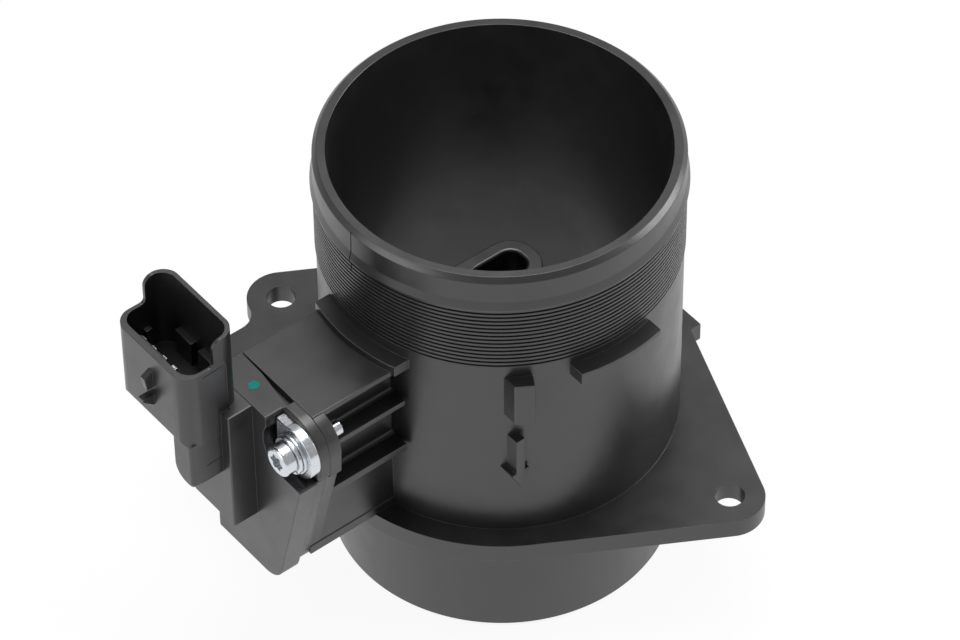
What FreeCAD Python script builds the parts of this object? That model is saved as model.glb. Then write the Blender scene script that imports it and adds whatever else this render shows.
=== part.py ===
import FreeCAD, Part
import math
import os
import Sketcher
from FreeCAD import Placement, Rotation, Vector

# Mass air flow sensor: a round duct with a bolted flange and a plug-in sensor module.
# Millimetres and degrees. +Z runs up the duct axis from the lower end, the module
# stands on the -X side and the flange's side tab on +X.

DRIVING_SIZES = [
    # Duct
    ("duct_length", 121.1, "lower end to mouth"),
    ("bore_radius", 40.0, "bore at the mouth"),
    ("bore_low_taper", 0.2, "bore smaller at the lower end"),
    ("bore_throat_taper", 0.8, "bore smaller at the sensor"),
    ("tube_wall", 3.0, "wall at the mouth"),
    ("spigot_step", 0.8, "lower spigot inside the tube's outside"),
    ("spigot_tip_drop", 1.1, "radius lost at the spigot's end chamfer"),
    ("spigot_tip_rise", 1.3, "height of that chamfer"),
    ("throat_low", 38.0, "height where the throat starts"),
    ("throat_high", 88.0, "height where the throat ends"),
    # Hose end
    ("lip_step", 0.65, "flat lip inside the tube's outside"),
    ("lip_fall", 1.5, "height of the lip chamfer"),
    ("bead_top_proud", 0.15, "bead under the chamfer"),
    ("bead_bulge_radius", 12.6, "rounding of the hose bead"),
    ("bead_height", 8.4, "height of the hose bead"),
    ("land_proud", 0.3, "lands between the grip grooves"),
    ("land_height", 18.8, "height of the grooved band"),
    ("groove_count", 15, "grip grooves"),
    ("groove_pitch", 1.22, "groove to groove"),
    ("groove_width", 0.6, "groove width at the land"),
    ("groove_depth", 0.35, "groove depth"),
    # Flange
    ("flange_low", 31.44, "underside of the flange"),
    ("flange_thickness", 5.2, "flange plate"),
    ("flange_ring", 5.5, "round part of the flange beyond the tube"),
    ("flange_foot_radius", 2.5, "fillet between tube and flange"),
    ("bolt_circle_radius", 63.05, "bolt holes from the duct axis"),
    ("bolt_angle", -70.0, "direction of the near bolt hole"),
    ("bolt_hole_radius", 3.6, "bolt hole"),
    ("lug_radius", 8.5, "rounding around a bolt hole"),
    ("flange_side_angle", -21.6, "normal of the flange's straight side"),
    ("tab_reach", 52.3, "side tab from the axis"),
    ("tab_near", -12.65, "near edge of the side tab"),
    ("tab_far", 8.95, "far edge of the side tab"),
    ("wing_reach", 57.0, "far wing of the flange towards the module"),
    ("wing_far", 57.0, "far edge of that wing"),
    ("wing_near", 8.0, "near edge of that wing"),
    ("wing_corner_radius", 8.0, "corner of that wing"),
    ("wing_hollow_radius", 5.5, "hollow between lug and wing"),
    # Joint between socket and module
    ("joint_reach", 66.9, "joint plane from the duct axis"),
    ("socket_centre", -1.85, "middle of the socket across the duct"),
    ("socket_top", 87.4, "top of socket and module"),
    ("socket_wall", 1.75, "socket side wall"),
    ("neck_width", 14.8, "module neck"),
    ("neck_low", 40.2, "underside of the neck"),
    ("neck_high", 83.0, "top of the neck"),
    ("neck_gap", 0.1, "clearance around the neck"),
    ("socket_low", 36.7, "underside of the socket"),
    ("socket_foot_height", 2.3, "thicker foot of the socket wall"),
    ("socket_foot_proud", 0.2, "how far the foot stands out"),
    ("top_plate_thickness", 1.65, "socket roof"),
    ("top_plate_near", -15.1, "near edge of the roof"),
    ("top_plate_far", 11.4, "far edge of the roof"),
    ("middle_rib_top", 76.45, "top of the middle rib"),
    ("middle_rib_thickness", 1.6, "middle rib"),
    ("middle_rib_near", -16.1, "near edge of the middle rib"),
    ("middle_rib_far", 12.4, "far edge of the middle rib"),
    ("ledge_top", 61.8, "top of the lower rib"),
    ("ledge_thickness", 2.1, "lower rib"),
    ("ledge_near", -16.3, "near edge of the lower rib"),
    ("mating_flange_thickness", 3.5, "plate that the module bolts to"),
    # Raised pieces on the tube
    ("curb_proud", 4.1, "curved stop above the socket"),
    ("curb_top", 89.1, "top of that stop"),
    ("curb_height", 2.9, "height of that stop"),
    ("curb_start", 164.5, "far end of that stop"),
    ("curb_end", 200.1, "near end of that stop"),
    ("stop_proud", 4.3, "curved stop on the near side"),
    ("stop_top", 91.2, "top of that stop"),
    ("stop_height", 1.7, "height of that stop"),
    ("stop_start", -107.2, "left end of that stop"),
    ("stop_end", -74.7, "right end of that stop"),
    ("stop_hook_drop", 4.2, "drop of its hooked end"),
    ("stop_hook_sweep", 1.6, "sweep of its hooked end"),
    ("block_proud", 3.3, "front of the square block"),
    ("block_top", 89.1, "top of the square block"),
    ("block_height", 12.8, "height of the square block"),
    ("block_start", -128.4, "foot of its slanted side"),
    ("block_slant", 3.6, "sweep of its slanted side"),
    ("block_end", -118.8, "its square side"),
    ("arrow_angle", -124.6, "flow arrow direction"),
    ("arrow_top", 69.8, "top of the arrow's shaft"),
    ("arrow_shoulder", 58.5, "arrow head's widest level"),
    ("arrow_tip", 52.4, "arrow tip"),
    ("arrow_shaft_width", 3.5, "arrow shaft"),
    ("arrow_head_width", 6.8, "arrow head"),
    ("arrow_proud", 1.7, "how far the arrow stands out"),
    # Module
    ("base_plate_thickness", 3.3, "module plate with its ears"),
    ("slab_thickness", 5.0, "body in front of that plate"),
    ("slab_near", -20.5, "near corner of the slab"),
    ("slab_near_top", 72.1, "level of that corner"),
    ("slab_low_near", -11.75, "foot of the slanted side"),
    ("slab_low_near_top", 37.6, "level of that foot"),
    ("slab_bottom", 32.0, "underside of the slab"),
    ("slab_bottom_near", -6.0, "near end of the underside"),
    ("slab_far", 12.85, "far end of the slab"),
    ("slab_upper_near", -8.45, "near edge above the screw recess"),
    ("clamp_recess_radius", 8.05, "round recess for the clamp plate"),
    ("plate_inset", 0.9, "module plate behind the slab's edge"),
    ("ear_radius", 8.6, "rounding of an ear"),
    ("ear_shift", 2.05, "ear centre inboard of its screw"),
    ("near_screw_side", -15.1, "near screw across the duct"),
    ("near_screw_level", 79.7, "near screw above the lower end"),
    ("far_screw_side", 20.0, "far screw across the duct"),
    ("far_screw_level", 62.0, "far screw above the lower end"),
    ("boss_thickness", 6.8, "boss in front of the slab"),
    ("boss_near", -3.3, "near side of the boss"),
    ("boss_far", 12.2, "far side of the boss"),
    ("boss_low", 50.3, "underside of the boss"),
    ("web_reach", 90.6, "front of the web under the plug"),
    ("web_near", -0.4, "near side of the web"),
    ("web_far", 7.2, "far side of the web"),
    ("web_low", 66.2, "underside of the web"),
    ("web_round", 4.5, "its rounded far edge"),
    # Plug socket
    ("plug_back", 75.9, "back wall of the plug shroud"),
    ("plug_front", 91.8, "front wall of the plug shroud"),
    ("plug_near", -0.6, "near wall of the plug shroud"),
    ("plug_far", 26.2, "far wall of the plug shroud"),
    ("plug_low", 80.1, "underside of the plug shroud"),
    ("plug_floor", 88.0, "floor inside the shroud"),
    ("plug_rim_low", 103.1, "front rim"),
    ("plug_rim_high", 110.7, "back rim"),
    ("plug_step", 83.0, "where the rim steps up"),
    ("plug_corner_radius", 4.5, "outer corners of the shroud"),
    ("plug_back_wall", 1.2, "shroud back wall"),
    ("plug_front_wall", 1.7, "shroud front wall"),
    ("plug_end_wall", 0.9, "shroud end walls"),
    ("rail_near", 8.9, "near end of the rail inside"),
    ("rail_far", 19.1, "far end of that rail"),
    ("rail_thickness", 1.1, "that rail"),
    ("rail_drop", 1.2, "rail below the front rim"),
    ("latch_near", 11.3, "near side of both latch lugs"),
    ("upper_latch_width", 1.6, "upper lug across"),
    ("upper_latch_top", 97.8, "top of the upper lug"),
    ("upper_latch_low", 92.5, "underside of the upper lug"),
    ("upper_latch_proud", 2.3, "upper lug in front of the shroud"),
    ("upper_latch_fall", 1.3, "fall of its top"),
    ("upper_latch_lean", 0.6, "its front leans back by this"),
    ("lower_latch_width", 1.9, "lower lug across"),
    ("lower_latch_top", 90.1, "top of the lower lug"),
    ("lower_latch_low", 86.6, "underside of the lower lug"),
    ("lower_latch_proud", 3.1, "lower lug in front of the shroud"),
    ("lower_latch_lip", 0.8, "height of its front"),
    # Finger with the measuring channel
    ("finger_reach", 8.3, "end of the finger past the axis"),
    ("finger_corner_radius", 4.0, "corners of its end"),
    ("channel_start", -8.0, "channel wall nearest the module"),
    ("channel_end", 4.3, "channel wall at the finger's end"),
    ("channel_near", -5.1, "near wall of the channel"),
    ("channel_far", 1.4, "far wall of the channel"),
    ("channel_flare", 2.0, "flared mouth of the channel"),
    # Electronics chamber in the neck
    ("chamber_start", -62.0, "outer end of the chamber"),
    ("chamber_end", -12.0, "inner end of the chamber"),
    ("chamber_low", 46.0, "floor of the chamber"),
    ("chamber_high", 78.0, "roof of the chamber"),
    ("chamber_back", -7.25, "back wall of the chamber"),
    ("lid_thickness", 1.5, "chamber lid"),
    ("lid_overlap", 1.5, "step that carries the lid"),
    ("lid_gap", 0.05, "clearance around the lid"),
    ("board_thickness", 1.0, "circuit board"),
    ("board_face", -1.3, "parts side of the board"),
    ("board_margin", 2.0, "board clear of the chamber walls"),
    ("board_inner_end", -17.0, "inner end of the board"),
    ("post_radius", 1.5, "board posts"),
    ("post_inset", 3.0, "posts from the board's edges"),
    ("chip_size", 8.0, "signal chip"),
    ("chip_height", 1.6, "signal chip height"),
    ("chip_start", -44.0, "outer edge of the signal chip"),
    ("chip_low", 58.0, "lower edge of the signal chip"),
    ("capacitor_length", 3.2, "capacitor"),
    ("capacitor_width", 2.5, "capacitor across"),
    ("capacitor_height", 1.6, "capacitor height"),
    ("capacitor_count", 3, "capacitors in a row"),
    ("capacitor_pitch", 5.0, "capacitor to capacitor"),
    ("capacitor_start", -30.0, "outer edge of the first capacitor"),
    ("capacitor_low", 68.0, "lower edge of the capacitors"),
    # Sensor plate
    ("sensor_thickness", 0.6, "ceramic sensor plate"),
    ("sensor_start", -20.0, "its end on the board"),
    ("sensor_end", 1.0, "its end in the channel"),
    ("sensor_low", 58.0, "its lower edge"),
    ("sensor_high", 66.0, "its upper edge"),
    ("film_thickness", 0.4, "heated film chip"),
    ("film_length", 3.0, "film chip along the plate"),
    ("film_height", 4.0, "film chip up the plate"),
    ("film_setback", 2.0, "film chip from the plate's end"),
    # Air temperature thermistor
    ("thermistor_place", -33.0, "thermistor along the neck"),
    ("thermistor_spread", 2.4, "lead to lead"),
    ("thermistor_lead_side", 0.5, "square lead"),
    ("thermistor_lead_top", 53.0, "leads on the board"),
    ("thermistor_level", 34.0, "middle of the bead"),
    ("thermistor_radius", 1.5, "bead"),
    # Contacts
    ("contact_count", 6, "contacts"),
    ("contact_pitch", 3.9, "contact to contact"),
    ("contact_line", 86.3, "row of contacts from the axis"),
    ("contact_middle", 12.55, "middle of the row"),
    ("contact_tip", 96.1, "contact tips"),
    ("blade_width", 1.5, "contact blade"),
    ("blade_thickness", 0.8, "contact blade thickness"),
    ("lead_side", 0.6, "square lead behind a blade"),
    ("lead_level", 84.0, "leads under the shroud floor"),
    ("lead_column_start", 81.2, "first lead column from the axis"),
    ("lead_column_pitch", 1.0, "lead column to column"),
    ("lead_row_low", 60.0, "lowest lead into the chamber"),
    ("lead_row_pitch", 2.2, "lead row to row"),
    ("lead_landing", 3.5, "lead length on the board"),
    # Seal
    ("seal_groove_depth", 1.0, "groove in the module plate"),
    ("seal_width", 1.3, "seal section"),
    ("seal_clearance", 0.3, "seal outside the neck opening"),
    # Fasteners
    ("screw_radius", 2.0, "screw shank"),
    ("screw_length", 15.6, "under the head to the tip"),
    ("screw_tip_chamfer", 0.5, "tip chamfer"),
    ("screw_head_radius", 4.0, "screw head"),
    ("screw_head_height", 3.2, "screw head height"),
    ("screw_head_round", 0.8, "rounded head edge"),
    ("socket_lobe_circle", 1.65, "six-lobe socket, lobe centres"),
    ("socket_lobe_radius", 0.6, "six-lobe socket, lobe"),
    ("socket_core_radius", 1.7, "six-lobe socket, core"),
    ("socket_depth", 1.8, "six-lobe socket depth"),
    ("insert_radius", 3.0, "threaded insert"),
    ("ear_hole_radius", 2.3, "screw hole in the module's ear"),
    ("clamp_radius", 7.0, "clamp plate"),
    ("clamp_bevel", 0.3, "bevel of its front edge"),
    ("clamp_half_width", 6.4, "half the width at its flat edge"),
    ("clamp_thickness", 2.3, "clamp plate"),
    ("clamp_flat", 6.4, "flat edge of the clamp plate"),
    ("clamp_corner", 1.7, "corner cut off to clear the recess in the module"),
    ("washer_hole_radius", 2.2, "hole in clamp plate and washers"),
    ("flat_washer_radius", 5.3, "flat washer"),
    ("flat_washer_thickness", 0.8, "flat washer"),
    ("spring_washer_radius", 4.9, "spring washer"),
    ("spring_washer_thickness", 1.0, "spring washer"),
    ("spring_washer_split", 0.8, "gap in the spring washer"),
    # Edge finish
    ("plate_edge_radius", 0.6, "rounded edges at the joint"),
    ("bore_overrun", 1.0, "cutting depth past a face"),
    ("tube_embed", 2.0, "raised pieces start inside the tube wall"),
]

doc = FreeCAD.newDocument("MassAirFlowSensor")
sheet = doc.addObject("Spreadsheet::Sheet", "Sizes")
for row, (alias, amount, note) in enumerate(DRIVING_SIZES, start=1):
    sheet.set(f"A{row}", note)
    sheet.set(f"B{row}", str(amount))
    sheet.setAlias(f"B{row}", alias)
doc.recompute()


class Length:
    """A number together with the formula over the sheet that gives it."""

    def __init__(self, amount, formula):
        self.amount = float(amount)
        self.formula = formula

    def __add__(self, other):
        other = length_of(other)
        return Length(self.amount + other.amount, f"({self.formula} + {other.formula})")

    def __sub__(self, other):
        other = length_of(other)
        return Length(self.amount - other.amount, f"({self.formula} - {other.formula})")

    def __mul__(self, other):
        other = length_of(other)
        return Length(self.amount * other.amount, f"({self.formula} * {other.formula})")

    def __truediv__(self, other):
        other = length_of(other)
        return Length(self.amount / other.amount, f"({self.formula} / {other.formula})")

    def __radd__(self, other):
        return length_of(other) + self

    def __rsub__(self, other):
        return length_of(other) - self

    def __rmul__(self, other):
        return length_of(other) * self

    def __neg__(self):
        return Length(-self.amount, f"(0 - {self.formula})")


def length_of(item):
    """A plain number or a Length, as a Length."""
    if isinstance(item, Length):
        return item
    return Length(item, f"({float(item)})")


def cosine(angle):
    """Cosine of an angle in degrees."""
    return Length(math.cos(math.radians(angle.amount)), f"cos({angle.formula})")


def sine(angle):
    """Sine of an angle in degrees."""
    return Length(math.sin(math.radians(angle.amount)), f"sin({angle.formula})")


def arc_cosine(ratio):
    """Angle in degrees whose cosine is the ratio."""
    return Length(math.degrees(math.acos(ratio.amount)), f"(acos({ratio.formula}) / 1deg)")


def root(number):
    """Square root."""
    return Length(math.sqrt(number.amount), f"sqrt({number.formula})")


class Sizes:
    """The sheet's cells, each as a Length of the same name."""


size = Sizes()
for alias, _, _ in DRIVING_SIZES:
    setattr(size, alias, Length(sheet.get(alias), f"Sizes.{alias}"))


# Drawing

def new_body(name):
    """An empty body for one sub-part."""
    body = doc.addObject("PartDesign::Body", name)
    body.Label = name
    return body


def new_sketch(body, name, plane, offset):
    """A sketch on one of the body's own planes, moved along that plane's normal."""
    sketch = body.newObject("Sketcher::SketchObject", f"{body.Name}_{name}_sketch")
    origin_plane = next(item for item in body.Origin.OriginFeatures if item.Role == plane)
    sketch.AttachmentSupport = (origin_plane, [""])
    sketch.MapMode = "FlatFace"
    offset = length_of(offset)
    sketch.AttachmentOffset = Placement(Vector(0, 0, offset.amount), Rotation())
    sketch.setExpression("AttachmentOffset.Base.z", offset.formula)
    return sketch


def hold(sketch, kind, geometry, point, place):
    """Fix one coordinate of a sketch point to its formula."""
    place = length_of(place)
    constraint = Sketcher.Constraint(kind, -1, 1, geometry, point, place.amount)
    index = sketch.addConstraint(constraint)
    sketch.setExpression(f"Constraints[{index}]", place.formula)


def hold_radius(sketch, geometry, radius):
    """Fix the radius of a circle or an arc to its formula."""
    radius = length_of(radius)
    index = sketch.addConstraint(Sketcher.Constraint("Radius", geometry, radius.amount))
    sketch.setExpression(f"Constraints[{index}]", radius.formula)


def arc_between(start, end, radius, turn):
    """The short arc from start to end; turn is 1 anticlockwise and -1 clockwise."""
    chord = end - start
    rise = math.sqrt(radius ** 2 - (chord.Length / 2) ** 2)
    left = Vector(-chord.y, chord.x, 0).normalize()
    centre = (start + end) * 0.5 + left * rise * turn
    first, last = (start, end) if turn > 0 else (end, start)
    first_angle = math.atan2(first.y - centre.y, first.x - centre.x)
    last_angle = math.atan2(last.y - centre.y, last.x - centre.x)
    if last_angle < first_angle:
        last_angle += 2 * math.pi
    return Part.ArcOfCircle(Part.Circle(centre, Vector(0, 0, 1), radius), first_angle, last_angle)


def add_loop(sketch, corners):
    """A closed outline. A corner is (x, y), or (x, y, radius, turn) where an arc leaves it."""
    first = sketch.GeometryCount
    count = len(corners)
    starts = []
    ends = []
    for index, corner in enumerate(corners):
        following = corners[(index + 1) % count]
        start = Vector(length_of(corner[0]).amount, length_of(corner[1]).amount, 0)
        end = Vector(length_of(following[0]).amount, length_of(following[1]).amount, 0)
        turn = corner[3] if len(corner) == 4 else 1
        if len(corner) == 4:
            shape = arc_between(start, end, length_of(corner[2]).amount, turn)
        else:
            shape = Part.LineSegment(start, end)
        sketch.addGeometry(shape, False)
        starts.append(1 if turn > 0 else 2)
        ends.append(2 if turn > 0 else 1)
    for index, corner in enumerate(corners):
        here = first + index
        after = first + (index + 1) % count
        next_start = starts[(index + 1) % count]
        sketch.addConstraint(Sketcher.Constraint("Coincident", here, ends[index], after, next_start))
        hold(sketch, "DistanceX", here, starts[index], corner[0])
        hold(sketch, "DistanceY", here, starts[index], corner[1])
        if len(corner) == 4:
            hold_radius(sketch, here, corner[2])


def add_circle(sketch, across, up, radius):
    """A full circle."""
    centre = Vector(length_of(across).amount, length_of(up).amount, 0)
    circle = Part.Circle(centre, Vector(0, 0, 1), length_of(radius).amount)
    index = sketch.addGeometry(circle, False)
    hold(sketch, "DistanceX", index, 3, across)
    hold(sketch, "DistanceY", index, 3, up)
    hold_radius(sketch, index, radius)


def draw(sketch, loops):
    """Outlines as corner lists and circles as (x, y, radius) tuples."""
    for loop in loops:
        if isinstance(loop, tuple):
            add_circle(sketch, *loop)
        else:
            add_loop(sketch, loop)


def box_loop(left, right, low, high):
    """The corners of a rectangle."""
    return [(left, low), (right, low), (right, high), (left, high)]


def rounded_box_loop(left, right, low, high, radius):
    """The corners of a rectangle with four equal round corners."""
    return [
        (left + radius, low),
        (right - radius, low, radius, 1),
        (right, low + radius),
        (right, high - radius, radius, 1),
        (right - radius, high),
        (left + radius, high, radius, 1),
        (left, high - radius),
        (left, low + radius, radius, 1),
    ]


def finish_feature(body, feature):
    """Make a feature the body's last one and work it out."""
    body.Tip = feature
    doc.recompute()
    return feature


def pad(body, name, plane, near, far, loops):
    """Material between two levels."""
    offset = -length_of(far) if plane == "XZ_Plane" else length_of(near)
    sketch = new_sketch(body, name, plane, offset)
    draw(sketch, loops)
    feature = body.newObject("PartDesign::Pad", f"{body.Name}_{name}")
    feature.Profile = sketch
    depth = length_of(far) - length_of(near)
    feature.Length = depth.amount
    feature.setExpression("Length", depth.formula)
    return finish_feature(body, feature)


def pocket(body, name, plane, near, far, loops):
    """A cut between two levels."""
    volume = body.Shape.Volume
    offset = -length_of(near) if plane == "XZ_Plane" else length_of(far)
    sketch = new_sketch(body, name, plane, offset)
    draw(sketch, loops)
    feature = body.newObject("PartDesign::Pocket", f"{body.Name}_{name}")
    feature.Profile = sketch
    depth = length_of(far) - length_of(near)
    feature.Length = depth.amount
    feature.setExpression("Length", depth.formula)
    finish_feature(body, feature)
    if body.Shape.Volume >= volume:
        raise RuntimeError(f"{feature.Name} cut nothing")
    return feature


def turned(body, name, loop, cut=False):
    """A full turn about Z of an outline drawn as (radius, height)."""
    volume = body.Shape.Volume if cut else 0.0
    sketch = new_sketch(body, name, "XZ_Plane", 0)
    draw(sketch, [loop])
    kind = "PartDesign::Groove" if cut else "PartDesign::Revolution"
    feature = body.newObject(kind, f"{body.Name}_{name}")
    feature.Profile = sketch
    feature.ReferenceAxis = (sketch, ["V_Axis"])
    feature.Angle = 360
    finish_feature(body, feature)
    if cut and body.Shape.Volume >= volume:
        raise RuntimeError(f"{feature.Name} cut nothing")
    return feature


def round_edges(body, name, radius, wanted):
    """Fillet the edges of the body that the test picks out."""
    base = body.Tip
    picked = [f"Edge{n}" for n, edge in enumerate(base.Shape.Edges, start=1) if wanted(edge)]
    if not picked:
        raise RuntimeError(f"{name} found no edge")
    feature = body.newObject("PartDesign::Fillet", f"{body.Name}_{name}")
    feature.Base = (base, picked)
    feature.Radius = radius.amount
    feature.setExpression("Radius", radius.formula)
    return finish_feature(body, feature)


def bevel_edges(body, name, width, wanted):
    """Chamfer the edges of the body that the test picks out."""
    base = body.Tip
    picked = [f"Edge{n}" for n, edge in enumerate(base.Shape.Edges, start=1) if wanted(edge)]
    if not picked:
        raise RuntimeError(f"{name} found no edge")
    feature = body.newObject("PartDesign::Chamfer", f"{body.Name}_{name}")
    feature.Base = (base, picked)
    feature.Size = width.amount
    feature.setExpression("Size", width.formula)
    return finish_feature(body, feature)


NEAR_ENOUGH = 0.02


def spans(edge, low, high):
    """Whether an edge lies inside a box given by two corners, None leaving a side open."""
    bounds = edge.BoundBox
    lows = (bounds.XMin, bounds.YMin, bounds.ZMin)
    highs = (bounds.XMax, bounds.YMax, bounds.ZMax)
    for edge_low, edge_high, limit_low, limit_high in zip(lows, highs, low, high):
        if limit_low is not None and edge_low < length_of(limit_low).amount - NEAR_ENOUGH:
            return False
        if limit_high is not None and edge_high > length_of(limit_high).amount + NEAR_ENOUGH:
            return False
    return True


def around(angle, radius):
    """A point on a circle about the duct axis."""
    return (radius * cosine(angle), radius * sine(angle))


def place(item, across, along, up):
    """Bind the position of a sub-part."""
    for axis, amount in zip("xyz", (across, along, up)):
        item.setExpression(f"Placement.Base.{axis}", length_of(amount).formula)


def bar(name, left, right, near, far, low, high):
    """A plain rectangular solid between six faces."""
    item = doc.addObject("Part::Box", name)
    spans_of_bar = (("Length", left, right), ("Width", near, far), ("Height", low, high))
    for side, start, end in spans_of_bar:
        extent = length_of(end) - length_of(start)
        setattr(item, side, extent.amount)
        item.setExpression(side, extent.formula)
    place(item, left, near, low)
    return item


def joined(name, items):
    """Several solids as one."""
    item = doc.addObject("Part::MultiFuse", name)
    item.Shapes = items
    item.Refine = True
    return item


def cut_by(name, base, tools):
    """A solid with the room that other pieces take up removed."""
    room = doc.addObject("Part::MultiFuse", f"{name}_room")
    room.Shapes = tools
    item = doc.addObject("Part::Cut", name)
    item.Base = base
    item.Tool = room
    item.Label = name
    return item


# Places that several pieces share

tube_radius = size.bore_radius + size.tube_wall
land_radius = tube_radius + size.land_proud
flange_radius = tube_radius + size.flange_ring
joint = -size.joint_reach
flange_top = size.flange_low + size.flange_thickness
neck_near = size.socket_centre - size.neck_width / 2
neck_far = size.socket_centre + size.neck_width / 2
socket_near = neck_near - size.neck_gap - size.socket_wall
socket_far = neck_far + size.neck_gap + size.socket_wall
plate_front = joint - size.base_plate_thickness
slab_front = plate_front - size.slab_thickness
boss_front = slab_front - size.boss_thickness
groove_top = size.duct_length - size.lip_fall - size.bead_height
buried = tube_radius - size.tube_embed
lead_side_near = size.board_face
lead_side_far = size.board_face + size.lead_side


def ear_loop(inset):
    """Outline of the plate that carries both screws, drawn across the duct."""
    near_ear = size.near_screw_side + size.ear_shift
    far_ear = size.far_screw_side - size.ear_shift
    far_low = size.far_screw_level - size.ear_radius
    far_high = size.far_screw_level + size.ear_radius
    near_mid = size.socket_top - size.ear_radius
    return [
        (size.slab_bottom_near, size.slab_bottom + inset),
        (size.slab_far - inset, size.slab_bottom + inset),
        (size.slab_far - inset, far_low),
        (far_ear, far_low, size.ear_radius, 1),
        (far_ear + size.ear_radius, size.far_screw_level, size.ear_radius, 1),
        (far_ear, far_high),
        (size.top_plate_far, far_high),
        (size.top_plate_far, size.socket_top),
        (near_ear, size.socket_top, size.ear_radius, 1),
        (near_ear - size.ear_radius, near_mid),
        (size.slab_near + inset, size.slab_near_top - inset),
        (size.slab_low_near + inset, size.slab_low_near_top),
    ]


# Fasteners: each is drawn along Z with its head up, then laid along X facing outwards

HEAD_OUT = Rotation(Vector(0, 1, 0), -90)


def screw(name):
    """Six-lobe socket head screw, underside of the head at the origin."""
    body = new_body(name)
    turned(body, "blank", [
        (0, -size.screw_length),
        (size.screw_radius - size.screw_tip_chamfer, -size.screw_length),
        (size.screw_radius, -size.screw_length + size.screw_tip_chamfer),
        (size.screw_radius, 0),
        (size.screw_head_radius, 0),
        (size.screw_head_radius, size.screw_head_height - size.screw_head_round,
         size.screw_head_round, 1),
        (size.screw_head_radius - size.screw_head_round, size.screw_head_height),
        (0, size.screw_head_height),
    ])
    recess_floor = size.screw_head_height - size.socket_depth
    pocket(body, "core", "XY_Plane", recess_floor, size.screw_head_height,
           [(0, 0, size.socket_core_radius)])
    lobe_step = 60
    lobes = [
        around(length_of(lobe_step * number), size.socket_lobe_circle) + (size.socket_lobe_radius,)
        for number in range(6)
    ]
    pocket(body, "lobes", "XY_Plane", recess_floor, size.screw_head_height, lobes)
    return body


def ring(name, outer, inner, thickness):
    """A plain washer standing on the origin."""
    body = new_body(name)
    pad(body, "ring", "XY_Plane", 0, thickness, [(0, 0, outer), (0, 0, inner)])
    return body


def spring_washer(name):
    """A washer with a split."""
    body = ring(name, size.spring_washer_radius, size.washer_hole_radius,
                size.spring_washer_thickness)
    pocket(body, "split", "XY_Plane", 0, size.spring_washer_thickness, [box_loop(
        0, size.spring_washer_radius + size.bore_overrun,
        -size.spring_washer_split / 2, size.spring_washer_split / 2)])
    return body


def clamp_plate(name):
    """A bevelled plate with one flat edge, which faces +Y before it is placed, and one corner off."""
    body = new_body(name)
    radius = size.clamp_radius
    half = size.clamp_half_width
    shoulder = root(radius * radius - half * half)
    pad(body, "plate", "XY_Plane", 0, size.clamp_thickness, [[
        (-half + size.clamp_corner, size.clamp_flat),
        (-half, size.clamp_flat - size.clamp_corner),
        (-half, shoulder, radius, 1),
        (0, -radius, radius, 1),
        (half, shoulder),
        (half, size.clamp_flat),
    ]])
    bevel_edges(body, "bevel", size.clamp_bevel, lambda edge: spans(
        edge, (None, None, size.clamp_thickness), (None, shoulder, None)))
    pocket(body, "hole", "XY_Plane", 0, size.clamp_thickness, [(0, 0, size.washer_hole_radius)])
    return body


def fastener_set(number, side, level, flip):
    """The pieces of one screwed joint, laid along X at their place."""
    head_seat = plate_front - size.clamp_thickness - size.flat_washer_thickness
    head_seat = head_seat - size.spring_washer_thickness
    pieces = [
        (screw(f"module_screw_{number}"), head_seat),
        (spring_washer(f"spring_washer_{number}"), head_seat + size.spring_washer_thickness),
        (ring(f"flat_washer_{number}", size.flat_washer_radius, size.washer_hole_radius,
              size.flat_washer_thickness), plate_front - size.clamp_thickness),
        (clamp_plate(f"clamp_plate_{number}"), plate_front),
        (ring(f"threaded_insert_{number}", size.insert_radius, size.screw_radius,
              size.mating_flange_thickness), joint + size.mating_flange_thickness),
    ]
    turn = Rotation(Vector(1, 0, 0), flip) * HEAD_OUT
    for body, seat in pieces:
        body.Placement = Placement(Vector(0, 0, 0), turn)
        place(body, seat, side, level)
    return [body for body, _ in pieces]


fasteners = fastener_set(1, size.near_screw_side, size.near_screw_level, 0)
fasteners += fastener_set(2, size.far_screw_side, size.far_screw_level, 180)


# Tube housing

def add_hose_end_and_tube(body):
    """The turned outside of the duct, from the spigot to the hose lip."""
    bead_low = groove_top
    land_low = groove_top - size.land_height
    foot = size.flange_foot_radius
    spigot_radius = tube_radius - size.spigot_step
    turned(body, "tube", [
        (0, 0),
        (spigot_radius - size.spigot_tip_drop, 0),
        (spigot_radius, size.spigot_tip_rise),
        (spigot_radius, size.flange_low),
        (tube_radius + foot, size.flange_low),
        (tube_radius + foot, flange_top, foot, -1),
        (tube_radius, flange_top + foot),
        (tube_radius, land_low),
        (land_radius, land_low),
        (land_radius, bead_low, size.bead_bulge_radius, 1),
        (tube_radius + size.bead_top_proud, bead_low + size.bead_height),
        (tube_radius - size.lip_step, size.duct_length),
        (0, size.duct_length),
    ])
    first_groove = groove_top - size.groove_pitch / 2
    half_width = size.groove_width / 2
    root_half_width = size.groove_width / 4
    bottom = land_radius - size.groove_depth
    groove = turned(body, "groove", [
        (bottom, first_groove - root_half_width),
        (land_radius + size.groove_depth, first_groove - half_width * 2),
        (land_radius + size.groove_depth, first_groove + half_width * 2),
        (bottom, first_groove + root_half_width),
    ], cut=True)
    pattern = body.newObject("PartDesign::LinearPattern", f"{body.Name}_grooves")
    pattern.Originals = [groove]
    axis = next(item for item in body.Origin.OriginFeatures if item.Role == "Z_Axis")
    pattern.Direction = (axis, [""])
    pattern.Reversed = True
    run = size.groove_pitch * (size.groove_count - 1)
    pattern.Length = run.amount
    pattern.setExpression("Length", run.formula)
    pattern.Occurrences = int(size.groove_count.amount)
    pattern.setExpression("Occurrences", size.groove_count.formula)
    finish_feature(body, pattern)


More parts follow.
